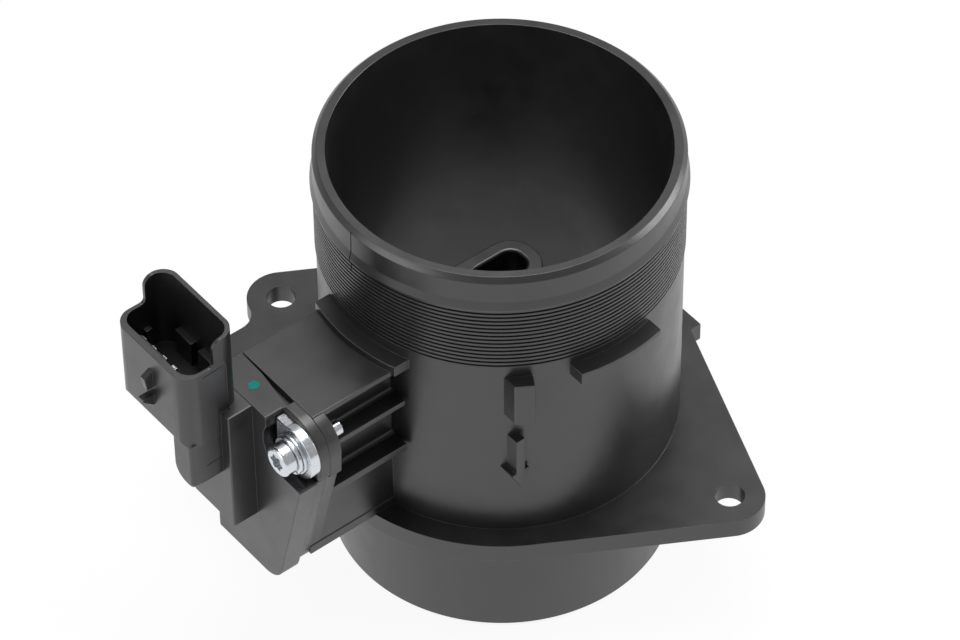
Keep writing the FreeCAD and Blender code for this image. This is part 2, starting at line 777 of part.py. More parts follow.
def add_flange(body):
    """Round flange with two bolt lugs, a side tab and a wing under the socket."""
    levels = (size.flange_low, flange_top)
    opposite = size.bolt_angle + 180
    spread = arc_cosine((flange_radius - size.lug_radius) / size.bolt_circle_radius)
    near_hole = around(size.bolt_angle, size.bolt_circle_radius)
    far_hole = around(opposite, size.bolt_circle_radius)

    def beside(hole, angle):
        reach = around(angle, size.lug_radius)
        return (hole[0] + reach[0], hole[1] + reach[1])

    side = size.flange_side_angle
    side_distance = size.bolt_circle_radius * cosine(size.bolt_angle - side) + size.lug_radius
    side_at_tab = (side_distance - size.tab_near * sine(side)) / cosine(side)
    pad(body, "flange_disc", "XY_Plane", *levels, [(0, 0, flange_radius)])
    pad(body, "near_lug", "XY_Plane", *levels, [[
        around(size.bolt_angle - spread, flange_radius),
        beside(near_hole, size.bolt_angle - spread) + (size.lug_radius, 1),
        beside(near_hole, side),
        (side_at_tab, size.tab_near),
        (size.tab_reach, size.tab_near),
        (size.tab_reach, size.tab_far),
        (0, size.tab_far),
    ]])
    wing_depth = size.wing_far - far_hole[1]
    wing_join = far_hole[0] - root(size.lug_radius * size.lug_radius - wing_depth * wing_depth)
    corner = size.wing_corner_radius
    pad(body, "far_lug", "XY_Plane", *levels, [[
        around(opposite - spread, flange_radius),
        beside(far_hole, opposite - spread) + (size.lug_radius, 1),
        (wing_join, size.wing_far),
        (corner - size.wing_reach, size.wing_far, corner, 1),
        (-size.wing_reach, size.wing_far - corner),
        (-size.wing_reach, size.wing_near),
        (0, size.wing_near),
    ]])
    round_edges(body, "wing_hollow", size.wing_hollow_radius, lambda edge: spans(
        edge, (wing_join, size.wing_far, size.flange_low), (wing_join, size.wing_far, flange_top)))
    pocket(body, "bolt_holes", "XY_Plane", *levels, [
        near_hole + (size.bolt_hole_radius,),
        far_hole + (size.bolt_hole_radius,),
    ])


def add_socket(body):
    """Box, roof, ribs and plate that carry the sensor module."""
    inside = -buried
    roof_low = size.socket_top - size.top_plate_thickness
    pad(body, "socket_box", "XY_Plane", size.socket_low, roof_low,
        [box_loop(joint, inside, socket_near, socket_far)])
    pad(body, "socket_foot", "XY_Plane", size.socket_low, size.socket_low + size.socket_foot_height,
        [box_loop(joint, inside, socket_near - size.socket_foot_proud,
                  socket_far + size.socket_foot_proud)])
    pad(body, "roof", "XY_Plane", roof_low, size.socket_top,
        [box_loop(joint, inside, size.top_plate_near, size.top_plate_far)])
    pad(body, "middle_rib", "XY_Plane", size.middle_rib_top - size.middle_rib_thickness,
        size.middle_rib_top,
        [box_loop(joint, inside, size.middle_rib_near, size.middle_rib_far)])
    pad(body, "ledge", "XY_Plane", size.ledge_top - size.ledge_thickness, size.ledge_top,
        [box_loop(joint, inside, size.ledge_near, size.middle_rib_far)])
    pad(body, "mating_flange", "YZ_Plane", joint, joint + size.mating_flange_thickness,
        [ear_loop(size.plate_inset)])


def sector(start, end, inner, outer):
    """Outline of a curved bar about the duct axis."""
    return [
        around(start, inner),
        around(start, outer) + (outer, 1),
        around(end, outer),
        around(end, inner) + (inner, -1),
    ]


def add_raised_pieces(body):
    """Curved stops, the square block and the flow arrow on the tube."""
    pad(body, "curb", "XY_Plane", size.curb_top - size.curb_height, size.curb_top,
        [sector(size.curb_start, size.curb_end, buried, tube_radius + size.curb_proud)])
    stop_radius = tube_radius + size.stop_proud
    pad(body, "stop", "XY_Plane", size.stop_top - size.stop_height, size.stop_top,
        [sector(size.stop_start, size.stop_end, buried, stop_radius)])
    pad(body, "stop_hook", "XY_Plane", size.stop_top - size.stop_hook_drop, size.stop_top,
        [sector(size.stop_start, size.stop_start + size.stop_hook_sweep, buried, stop_radius)])
    block_radius = tube_radius + size.block_proud
    pad(body, "block", "XY_Plane", size.block_top - size.block_height, size.block_top, [[
        around(size.block_start, buried),
        around(size.block_start, tube_radius),
        around(size.block_start + size.block_slant, block_radius),
        around(size.block_end, block_radius),
        around(size.block_end, buried),
    ]])
    half_shaft = size.arrow_shaft_width / 2
    half_head = size.arrow_head_width / 2
    sketch = new_sketch(body, "arrow", "XZ_Plane", 0)
    add_loop(sketch, [
        (-half_shaft, size.arrow_top),
        (-half_shaft, size.arrow_shoulder),
        (-half_head, size.arrow_shoulder),
        (0, size.arrow_tip),
        (half_head, size.arrow_shoulder),
        (half_shaft, size.arrow_shoulder),
        (half_shaft, size.arrow_top),
    ])
    swing = size.arrow_angle + 90
    sketch.AttachmentOffset = Placement(Vector(0, 0, 0), Rotation(Vector(0, 1, 0), swing.amount))
    sketch.setExpression("AttachmentOffset.Base.x", (buried * sine(swing)).formula)
    sketch.setExpression("AttachmentOffset.Base.z", (buried * cosine(swing)).formula)
    sketch.setExpression("AttachmentOffset.Rotation.Angle", swing.formula)
    feature = body.newObject("PartDesign::Pad", f"{body.Name}_arrow")
    feature.Profile = sketch
    feature.setExpression("Length", (size.tube_embed + size.arrow_proud).formula)
    finish_feature(body, feature)


def tube_housing():
    """The moulded duct with its flange and socket, one piece."""
    body = new_body("tube_housing")
    add_hose_end_and_tube(body)
    add_flange(body)
    add_socket(body)
    add_raised_pieces(body)
    bore_low = size.bore_radius - size.bore_low_taper
    bore_throat = size.bore_radius - size.bore_throat_taper
    turned(body, "bore", [
        (0, -size.bore_overrun),
        (bore_low, -size.bore_overrun),
        (bore_low, 0),
        (bore_throat, size.throat_low),
        (bore_throat, size.throat_high),
        (size.bore_radius, size.duct_length),
        (size.bore_radius, size.duct_length + size.bore_overrun),
        (0, size.duct_length + size.bore_overrun),
    ], cut=True)
    gap = size.neck_gap
    pocket(body, "neck_opening", "YZ_Plane", joint, -tube_radius / 2,
           [box_loop(neck_near - gap, neck_far + gap, size.neck_low - gap, size.neck_high + gap)])
    pocket(body, "insert_holes", "YZ_Plane", joint, joint + size.mating_flange_thickness, [
        (size.near_screw_side, size.near_screw_level, size.insert_radius),
        (size.far_screw_side, size.far_screw_level, size.insert_radius),
    ])
    round_edges(body, "roof_edge", size.plate_edge_radius, lambda edge: spans(
        edge, (joint, None, size.socket_top), (joint, None, size.socket_top)))
    return body


housing = tube_housing()


# Module electronics

def contact(number):
    """A plug blade, and the square lead that takes it through the moulding to the board."""
    name = f"contact_{number + 1}"
    middle = (size.contact_count - 1) / 2
    blade_side = size.contact_middle + size.contact_pitch * (number - middle)
    half = size.lead_side / 2
    column = size.lead_column_pitch * number - size.lead_column_start
    level = size.lead_level
    row_level = size.lead_row_low + size.lead_row_pitch * number
    line = -size.contact_line
    landing = size.chamber_start + size.lead_landing
    pieces = [
        bar(f"{name}_blade", line - size.blade_thickness / 2, line + size.blade_thickness / 2,
            blade_side - size.blade_width / 2, blade_side + size.blade_width / 2,
            level - half, size.contact_tip),
        bar(f"{name}_foot", line, column + half, blade_side - half, blade_side + half,
            level - half, level + half),
        bar(f"{name}_crossing", column - half, column + half, lead_side_near, blade_side + half,
            level - half, level + half),
        bar(f"{name}_column", column - half, column + half, lead_side_near, lead_side_far,
            row_level - half, level + half),
        bar(f"{name}_row", column - half, landing, lead_side_near, lead_side_far,
            row_level - half, row_level + half),
    ]
    item = joined(name, pieces)
    item.Label = name
    return item


contacts = [contact(number) for number in range(int(size.contact_count.amount))]

board_start = size.chamber_start + size.lid_gap
board_low = size.chamber_low + size.board_margin
board_high = size.chamber_high - size.board_margin
board_back = size.board_face - size.board_thickness
board = bar("circuit_board", board_start, size.board_inner_end, board_back, size.board_face,
            board_low, board_high)
signal_chip = bar("signal_chip", size.chip_start, size.chip_start + size.chip_size,
                  size.board_face, size.board_face + size.chip_height,
                  size.chip_low, size.chip_low + size.chip_size)
capacitors = []
for number in range(int(size.capacitor_count.amount)):
    start = size.capacitor_start + size.capacitor_pitch * number
    capacitors.append(bar(
        f"capacitor_{number + 1}", start, start + size.capacitor_length,
        size.board_face, size.board_face + size.capacitor_height,
        size.capacitor_low, size.capacitor_low + size.capacitor_width))

sensor_face = size.board_face + size.sensor_thickness
sensor_plate = bar("sensor_plate", size.sensor_start, size.sensor_end, size.board_face,
                   sensor_face, size.sensor_low, size.sensor_high)
film_end = size.sensor_end - size.film_setback
film_middle = (size.sensor_low + size.sensor_high) / 2
heated_film = bar("heated_film", film_end - size.film_length, film_end, sensor_face,
                  sensor_face + size.film_thickness, film_middle - size.film_height / 2,
                  film_middle + size.film_height / 2)


def thermistor():
    """The two leads and the bead that measure the air temperature."""
    half = size.thermistor_lead_side / 2
    leads = []
    for index, sign in enumerate((-1, 1), start=1):
        middle = size.thermistor_place + size.thermistor_spread / 2 * sign
        leads.append(bar(f"thermistor_lead_{index}", middle - half, middle + half,
                         size.board_face, size.board_face + size.thermistor_lead_side,
                         size.thermistor_level, size.thermistor_lead_top))
    bead = doc.addObject("Part::Sphere", "bead_ball")
    bead.setExpression("Radius", size.thermistor_radius.formula)
    place(bead, size.thermistor_place, size.board_face + half, size.thermistor_level)
    tool = doc.addObject("Part::MultiFuse", "bead_room")
    tool.Shapes = leads
    hollow_bead = doc.addObject("Part::Cut", "thermistor_bead")
    hollow_bead.Base = bead
    hollow_bead.Tool = tool
    return leads, hollow_bead


thermistor_leads, thermistor_bead = thermistor()


# Sensor module housing

def add_plug(body):
    """The shroud around the contacts, its rail and its latch lugs."""
    back = -size.plug_back
    front = -size.plug_front
    radius = size.plug_corner_radius
    footprint = rounded_box_loop(front, back, size.plug_near, size.plug_far, radius)
    pad(body, "plug_low", "XY_Plane", size.plug_low, size.plug_rim_low, [footprint])
    step = -size.plug_step
    pad(body, "plug_high", "XY_Plane", size.plug_low, size.plug_rim_high, [[
        (step, size.plug_near),
        (back - radius, size.plug_near, radius, 1),
        (back, size.plug_near + radius),
        (back, size.plug_far - radius, radius, 1),
        (back - radius, size.plug_far),
        (step, size.plug_far),
    ]])
    pad(body, "web", "XY_Plane", size.web_low, size.plug_low + size.bore_overrun,
        [box_loop(-size.web_reach, boss_front + size.bore_overrun, size.web_near, size.web_far)])
    round_edges(body, "web_corner", size.web_round, lambda edge: spans(
        edge, (None, size.web_far, size.web_low), (None, size.web_far, size.web_low)))
    inner_radius = radius - size.plug_end_wall
    pocket(body, "plug_mouth", "XY_Plane", size.plug_floor, size.plug_rim_high, [rounded_box_loop(
        front + size.plug_front_wall, back - size.plug_back_wall,
        size.plug_near + size.plug_end_wall, size.plug_far - size.plug_end_wall, inner_radius)])
    rail_back = front + size.plug_front_wall
    pad(body, "rail", "XY_Plane", size.plug_floor, size.plug_rim_low - size.rail_drop,
        [box_loop(rail_back - size.plug_front_wall / 2, rail_back + size.rail_thickness,
                  size.rail_near, size.rail_far)])
    root_line = front + size.plug_front_wall / 2
    upper_front = front - size.upper_latch_proud
    upper_far = size.latch_near + size.upper_latch_width
    pad(body, "upper_latch", "XZ_Plane", size.latch_near, upper_far, [[
        (root_line, size.upper_latch_low),
        (root_line, size.upper_latch_top),
        (front, size.upper_latch_top),
        (upper_front, size.upper_latch_top - size.upper_latch_fall),
        (upper_front + size.upper_latch_lean, size.upper_latch_low),
    ]])
    lower_front = front - size.lower_latch_proud
    lower_far = size.latch_near + size.lower_latch_width
    pad(body, "lower_latch", "XZ_Plane", size.latch_near, lower_far, [[
        (root_line, size.lower_latch_low),
        (root_line, size.lower_latch_top),
        (lower_front, size.lower_latch_top),
        (lower_front, size.lower_latch_top - size.lower_latch_lip),
        (front, size.lower_latch_low),
    ]])


def add_chamber(body):
    """Room for the board behind a lid, with the posts that carry the board."""
    lid_seat = neck_far - size.lid_thickness
    lap = size.lid_overlap
    pocket(body, "lid_recess", "XZ_Plane", lid_seat, neck_far, [box_loop(
        size.chamber_start - lap, size.chamber_end + lap,
        size.chamber_low - lap, size.chamber_high + lap)])
    pocket(body, "chamber", "XZ_Plane", size.chamber_back, lid_seat, [box_loop(
        size.chamber_start, size.chamber_end, size.chamber_low, size.chamber_high)])
    left = board_start + size.post_inset
    right = size.board_inner_end - size.post_inset
    low = board_low + size.post_inset
    high = board_high - size.post_inset
    posts = [(across, up, size.post_radius) for across in (left, right) for up in (low, high)]
    pad(body, "posts", "XZ_Plane", size.chamber_back, board_back, posts)


def sensor_housing():
    """Plate, slab, boss, plug shroud, neck and finger, moulded as one piece."""
    body = new_body("module_moulding")
    pad(body, "plate", "YZ_Plane", plate_front, joint, [ear_loop(size.plate_inset)])
    recess = size.clamp_recess_radius
    recess_side = size.slab_upper_near - size.near_screw_side
    recess_drop = size.near_screw_level - size.slab_near_top
    recess_top = size.near_screw_level + root(recess * recess - recess_side * recess_side)
    recess_foot = size.near_screw_side + root(recess * recess - recess_drop * recess_drop)
    pad(body, "slab", "YZ_Plane", slab_front, plate_front, [[
        (size.slab_bottom_near, size.slab_bottom),
        (size.slab_far, size.slab_bottom),
        (size.slab_far, size.socket_top - size.ear_radius),
        (size.top_plate_far, size.socket_top),
        (size.slab_upper_near, size.socket_top),
        (size.slab_upper_near, recess_top, recess, -1),
        (recess_foot, size.slab_near_top),
        (size.slab_near, size.slab_near_top),
        (size.slab_low_near, size.slab_low_near_top),
    ]])
    pad(body, "boss", "YZ_Plane", boss_front, slab_front,
        [box_loop(size.boss_near, size.boss_far, size.boss_low, size.socket_top)])
    pad(body, "neck", "YZ_Plane", joint, size.finger_reach,
        [box_loop(neck_near, neck_far, size.neck_low, size.neck_high)])
    round_edges(body, "finger_corners", size.finger_corner_radius, lambda edge: spans(
        edge, (size.finger_reach, None, size.neck_low), (size.finger_reach, None, size.neck_high))
        and edge.BoundBox.ZLength > size.neck_width.amount
        and edge.BoundBox.YLength < NEAR_ENOUGH)
    add_plug(body)
    pocket(body, "channel", "XY_Plane", size.neck_low, size.neck_high, [rounded_box_loop(
        size.channel_start, size.channel_end, size.channel_near, size.channel_far,
        size.channel_flare)])
    bevel_edges(body, "channel_flare", size.channel_flare * 0.8, lambda edge: spans(
        edge, (size.channel_start, size.channel_near, size.neck_high),
        (size.channel_end, size.channel_far, size.neck_high)))
    add_chamber(body)
    groove_back = joint - size.seal_groove_depth
    pocket(body, "seal_groove", "YZ_Plane", groove_back, joint, seal_loops())
    pocket(body, "screw_holes", "YZ_Plane", plate_front, joint, [
        (size.near_screw_side, size.near_screw_level, size.ear_hole_radius),
        (size.far_screw_side, size.far_screw_level, size.ear_hole_radius),
    ])
    return cut_by("sensor_housing", body, contacts + [sensor_plate] + thermistor_leads)


def seal_loops():
    """Inner and outer outline of the seal around the neck."""
    inner = size.neck_gap + size.seal_clearance
    outer = inner + size.seal_width
    return [
        box_loop(neck_near - grow, neck_far + grow, size.neck_low - grow, size.neck_high + grow)
        for grow in (inner, outer)
    ]


def housing_seal():
    """The rubber ring squeezed between the module plate and the socket."""
    body = new_body("housing_seal")
    pad(body, "ring", "YZ_Plane", joint - size.seal_groove_depth, joint, seal_loops())
    return body


def electronics_lid():
    """The lid that closes the chamber, flush with the neck's side."""
    reach = size.lid_overlap - size.lid_gap
    return bar("electronics_lid", size.chamber_start - reach, size.chamber_end + reach,
               neck_far - size.lid_thickness, neck_far,
               size.chamber_low - reach, size.chamber_high + reach)


module = sensor_housing()
seal = housing_seal()
lid = electronics_lid()
doc.recompute()

sub_parts = [
    housing, module, seal, lid, board, signal_chip, sensor_plate, heated_film, thermistor_bead,
]
sub_parts += capacitors + thermistor_leads + contacts + fasteners


# Check and write

for item in doc.Objects:
    if "Invalid" in item.State or "Error" in item.State:
        raise RuntimeError(f"{item.Label} failed: {item.State}")
os.makedirs("parts", exist_ok=True)
for item in sub_parts:
    shape = item.Shape
    if shape.isNull() or not shape.isValid() or not shape.Solids:
        raise RuntimeError(f"{item.Label} has no valid solid")
    shape.exportStep(f"parts/{item.Label}.step")
    bounds = shape.BoundBox
    print(f"{item.Label:20s} solids {len(shape.Solids)} volume {shape.Volume:10.1f} "
          f"x {bounds.XMin:7.2f} {bounds.XMax:7.2f} y {bounds.YMin:7.2f} {bounds.YMax:7.2f} "
          f"z {bounds.ZMin:7.2f} {bounds.ZMax:7.2f}")
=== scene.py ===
"""Looks of a mass air flow sensor, built around the fixed frame of its solids.

Sizes are in millimetres until a point is made, and the frame is in metres: +Z runs up the duct
axis from the lower end, and the sensor module stands on the -X side.
"""

import logging
import math
from dataclasses import dataclass
from enum import Enum

import bpy
from mathutils import Matrix, Vector

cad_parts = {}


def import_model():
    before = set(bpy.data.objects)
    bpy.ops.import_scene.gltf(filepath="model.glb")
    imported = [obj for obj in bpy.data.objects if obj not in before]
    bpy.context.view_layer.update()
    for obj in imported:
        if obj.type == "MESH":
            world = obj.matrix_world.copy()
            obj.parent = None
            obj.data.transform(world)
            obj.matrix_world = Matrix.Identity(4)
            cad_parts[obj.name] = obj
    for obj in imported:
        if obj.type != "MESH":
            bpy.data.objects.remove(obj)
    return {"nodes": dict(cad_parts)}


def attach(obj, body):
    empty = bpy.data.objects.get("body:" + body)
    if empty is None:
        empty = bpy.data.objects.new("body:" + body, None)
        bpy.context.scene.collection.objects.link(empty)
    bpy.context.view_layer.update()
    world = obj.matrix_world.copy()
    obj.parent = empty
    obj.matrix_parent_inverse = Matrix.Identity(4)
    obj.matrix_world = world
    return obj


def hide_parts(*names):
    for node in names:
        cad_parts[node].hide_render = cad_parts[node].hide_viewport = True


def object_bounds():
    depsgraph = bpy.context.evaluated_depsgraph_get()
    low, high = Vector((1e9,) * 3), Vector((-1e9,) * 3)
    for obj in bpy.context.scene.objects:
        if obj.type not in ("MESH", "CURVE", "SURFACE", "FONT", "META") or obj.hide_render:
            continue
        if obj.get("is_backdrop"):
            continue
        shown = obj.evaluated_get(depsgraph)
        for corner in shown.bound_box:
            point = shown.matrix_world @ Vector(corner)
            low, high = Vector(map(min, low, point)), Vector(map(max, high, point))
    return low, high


log = logging.getLogger("air_flow_sensor")

MM = 0.001
Point2 = tuple[float, float]
Corner = tuple[float, float, float]

# Side and level of the two screws that hold the module on its socket.
NEAR_SCREW: Point2 = (-15.1, 79.7)
FAR_SCREW: Point2 = (20.0, 62.0)
SCREWS = (NEAR_SCREW, FAR_SCREW)

# Rounding of the raised shapes that a mould leaves almost sharp.
CRISP_EDGE = 0.15


class Axis(Enum):
    """The direction that an outline is drawn out along."""

    X = "x"
    Y = "y"
    Z = "z"


class Join(Enum):
    """How one shape works on another."""

    ADD = "UNION"
    CUT = "DIFFERENCE"
    KEEP = "INTERSECT"


# Drawing


def polar(radius: float, degrees: float) -> Point2:
    """A point at a radius and direction."""
    return radius * math.cos(math.radians(degrees)), radius * math.sin(math.radians(degrees))


def arc(centre: Point2, radius: float, start: float, end: float, steps: int) -> list[Point2]:
    """Points along an arc, both ends included.

    Args:
        centre: The arc's centre.
        radius: Its radius.
        start: The first direction, in degrees.
        end: The last direction, in degrees.
        steps: How many chords it has.

    Returns:
        The points in order.
    """
    turn = (end - start) / steps
    spots = [polar(radius, start + turn * step) for step in range(steps + 1)]
    return [(centre[0] + x, centre[1] + y) for x, y in spots]


def rounded(corners: list[Corner], steps: int = 6) -> list[Point2]:
    """A closed outline whose corners are rounded.

    Args:
        corners: Each corner as its two coordinates and its radius.
        steps: The chords of each rounding.

    Returns:
        The outline's points.
    """
    points: list[Point2] = []
    for index, (across, up, radius) in enumerate(corners):
        here = Vector((across, up))
        if radius <= 0:
            points.append((across, up))
            continue
        before = (Vector(corners[index - 1][:2]) - here).normalized()
        after = (Vector(corners[(index + 1) % len(corners)][:2]) - here).normalized()
        half = before.angle(after) / 2
        reach = radius / math.tan(half)
        centre = here + (before + after).normalized() * (radius / math.sin(half))
        first, last = here + before * reach - centre, here + after * reach - centre
        start = math.atan2(first.y, first.x)
        sweep = first.angle_signed(last)
        for step in range(steps + 1):
            angle = start - sweep * step / steps
            points.append((centre.x + radius * math.cos(angle),
                           centre.y + radius * math.sin(angle)))
    return points


def oblong(left: float, right: float, low: float, high: float, radius: float = 0.0) -> list[Corner]:
    """The corners of a rectangle, all with one radius."""
    return [(left, low, radius), (right, low, radius), (right, high, radius), (left, high, radius)]


def place(axis: Axis, level: float, across: float, up: float) -> Vector:
    """A point of an outline that stands square to an axis, in metres."""
    spots = {Axis.X: (level, across, up), Axis.Y: (across, level, up), Axis.Z: (across, up, level)}
    return Vector(spots[axis]) * MM


# Modelling moves


def choose(*objects: bpy.types.Object) -> None:
    """Select these objects alone, the first one active."""
    bpy.ops.object.select_all(action="DESELECT")
    for item in objects:
        item.select_set(True)
    bpy.context.view_layer.objects.active = objects[0]


def sheet_of_points(name: str, points: list[Vector], closed: bool) -> bpy.types.Object:
    """A mesh with one face, or with a ring of edges, through the points."""
    count = len(points)
    edges = [] if closed else [(n, (n + 1) % count) for n in range(count)]
    faces = [tuple(range(count))] if closed else []
    mesh = bpy.data.meshes.new(name)
    mesh.from_pydata(points, edges, faces)
    item = bpy.data.objects.new(name, mesh)
    bpy.context.collection.objects.link(item)
    return item


def outwards(item: bpy.types.Object, merge: float = 1e-7) -> None:
    """Merge points nearer than a distance in metres and turn the faces outwards."""
    choose(item)
    bpy.ops.object.mode_set(mode="EDIT")
    bpy.ops.mesh.select_all(action="SELECT")
    bpy.ops.mesh.remove_doubles(threshold=merge)
    bpy.ops.mesh.normals_make_consistent(inside=False)
    bpy.ops.object.mode_set(mode="OBJECT")


def apply_modifier(item: bpy.types.Object, kind: str, **settings: object) -> None:
    """Add a modifier with its settings and apply it."""
    choose(item)
    modifier = item.modifiers.new(kind.lower(), kind)
    for key, value in settings.items():
        setattr(modifier, key, value)
    bpy.ops.object.modifier_apply(modifier=modifier.name)


def soften(item: bpy.types.Object, width: float, segments: int = 2, over: float = 40.0) -> None:
    """Round the edges that turn by more than an angle.

    Args:
        item: The piece.
        width: The rounding, in millimetres.
        segments: Its steps.
        over: The least turn of a rounded edge, in degrees.
    """
    apply_modifier(item, "BEVEL", width=width * MM, segments=segments, limit_method="ANGLE",
                   angle_limit=math.radians(over), miter_outer="MITER_ARC")


def drawn_out(name: str, outline: list[Point2], axis: Axis, start: float, end: float,
              edge: float = 0.0) -> bpy.types.Object:
    """A solid with one outline between two levels.

    Args:
        name: The piece's name.
        outline: The outline's points.
        axis: The direction it is drawn out along.
        start: The level it starts from.
        end: The level it ends at.
        edge: The rounding of its sharp edges.

    Returns:
        The solid.
    """
    item = sheet_of_points(name, [place(axis, start, *spot) for spot in outline], True)
    choose(item)
    bpy.ops.object.mode_set(mode="EDIT")
    bpy.ops.mesh.select_all(action="SELECT")
    move = place(axis, end, 0, 0) - place(axis, start, 0, 0)
    bpy.ops.mesh.extrude_region_move(TRANSFORM_OT_translate={"value": move})
    bpy.ops.object.mode_set(mode="OBJECT")
    outwards(item)
    if edge:
        soften(item, edge)
    return item


def turned(name: str, profile: list[Point2], steps: int, centre: Vector | None = None,
           axis: Vector | None = None, sweep: float = 360.0) -> bpy.types.Object:
    """A solid of revolution from a closed profile.

    Args:
        name: The piece's name.
        profile: The profile as radius and height.
        steps: The steps of the turn.
        centre: The foot of its axis, in millimetres. The duct's own axis if left out.
        axis: The axis direction. Upwards if left out.
        sweep: The angle of the turn, in degrees.

    Returns:
        The solid.
    """
    foot = (centre or Vector((0, 0, 0))) * MM
    along = (axis or Vector((0, 0, 1))).normalized()
    side = along.orthogonal().normalized()
    points = [foot + (side * radius + along * height) * MM for radius, height in profile]
    whole = abs(sweep) >= 360
    item = sheet_of_points(name, points, not whole)
    choose(item)
    bpy.ops.object.mode_set(mode="EDIT")
    bpy.ops.mesh.select_all(action="SELECT")
    bpy.ops.mesh.spin(steps=steps, angle=math.radians(sweep), center=foot, axis=along)
    bpy.ops.object.mode_set(mode="OBJECT")
    outwards(item)
    return item


def round_rim(item: bpy.types.Object, axis: Axis, level: float, width: float,
              segments: int = 4, near: float = 1e-6) -> None:
    """Round all the edges that lie at one level.

    Args:
        item: The piece.
        axis: The direction that the level is measured along.
        level: The level, in millimetres.
        width: The rounding, in millimetres.
        segments: Its steps.
        near: How far off the level an edge may lie, in metres.
    """
    index = list(Axis).index(axis)
    choose(item)
    bpy.ops.object.mode_set(mode="EDIT")
    bpy.ops.mesh.select_mode(type="EDGE")
    bpy.ops.mesh.select_all(action="DESELECT")
    bpy.ops.object.mode_set(mode="OBJECT")
    for edge in item.data.edges:
        edge.select = all(abs(item.data.vertices[end].co[index] - level * MM) < near
                          for end in edge.vertices)
    bpy.ops.object.mode_set(mode="EDIT")
    bpy.ops.mesh.bevel(offset=width * MM, segments=segments, affect="EDGES")
    bpy.ops.object.mode_set(mode="OBJECT")


def engraved(name: str, line: list[Point2], width: float, axis: Axis, start: float,
             end: float) -> list[bpy.types.Object]:
    """Thin bars along a line, as tools that engrave it."""
    bars = []
    for first, last in zip(line, line[1:]):
        begin, finish = Vector(first), Vector(last)
        way = (finish - begin).normalized() * (width / 2)
        side = Vector((-way.y, way.x))
        corners = [begin - way - side, finish + way - side, finish + way + side, begin - way + side]
        bars.append(drawn_out(name, [(spot.x, spot.y) for spot in corners], axis, start, end))
    return bars


def combine(item: bpy.types.Object, tools: list[bpy.types.Object], join: Join) -> None:
    """Add, cut or keep with one or more tools, which are used up.

    Args:
        item: The piece that is worked on.
        tools: The shapes that work on it.
        join: What they do.
    """
    bench = bpy.data.collections.new("tools")
    bpy.context.scene.collection.children.link(bench)
    for tool in tools:
        bench.objects.link(tool)
    apply_modifier(item, "BOOLEAN", operation=join.value, solver="EXACT",
                   operand_type="COLLECTION", collection=bench)
    for tool in tools:
        bpy.data.objects.remove(tool, do_unlink=True)
    bpy.data.collections.remove(bench)


def block(name: str, left: float, right: float, near: float, far: float, low: float, high: float,
          edge: float = 0.3) -> bpy.types.Object:
    """A rectangular solid with softened edges, from its six faces in millimetres."""
    return drawn_out(name, rounded(oblong(left, right, near, far)), Axis.Z, low, high, edge)


def rod(name: str, centre: Point2, radius: float, axis: Axis, start: float, end: float,
        steps: int = 48) -> bpy.types.Object:
    """A round bar square to a plane, used to pierce or to carry."""
    return drawn_out(name, arc(centre, radius, 0, 360 - 360 / steps, steps - 1), axis, start, end)


def finish_mesh(item: bpy.types.Object, angle: float = 30.0) -> None:
    """Shade a finished piece smooth up to an angle and report its mesh."""
    item.data.validate()
    choose(item)
    bpy.ops.object.shade_smooth_by_angle(angle=math.radians(angle))
    # Large faces set the normals, so flat ones stay flat next to a rounded edge.
    apply_modifier(item, "WEIGHTED_NORMAL", mode="FACE_AREA", weight=80, keep_sharp=True)
    log.info("%s has %d faces", item.name, len(item.data.polygons))


# Finishes


def linear(shade: str) -> tuple[float, float, float, float]:
    """An sRGB hex colour as linear values."""
    parts = [int(shade[index:index + 2], 16) / 255 for index in (1, 3, 5)]
    bent = [part / 12.92 if part <= 0.04045 else ((part + 0.055) / 1.055) ** 2.4 for part in parts]
    return bent[0], bent[1], bent[2], 1.0


def add_node(tree: bpy.types.NodeTree, kind: str, inputs: dict[str, object] | None = None,
             **settings: object) -> bpy.types.Node:
    """Add a node with its settings, values and links.

    Args:
        tree: The material's tree.
        kind: The node's type name.
        inputs: For each socket, a value or the socket that feeds it.
        settings: The node's own settings.

    Returns:
        The node.
    """
    made = tree.nodes.new(kind)
    for key, value in settings.items():
        setattr(made, key, value)
    for key, value in (inputs or {}).items():
        socket = made.inputs[int(key)] if key.isdigit() else made.inputs[key]
        if isinstance(value, bpy.types.NodeSocket):
            tree.links.new(value, socket)
        else:
            socket.default_value = value
    return made


def bare_material(name: str) -> tuple[bpy.types.Material, bpy.types.NodeTree]:
    """A new material with its empty node tree."""
    made = bpy.data.materials.new(name)
    made.use_nodes = True
    made.node_tree.nodes.clear()
    return made, made.node_tree


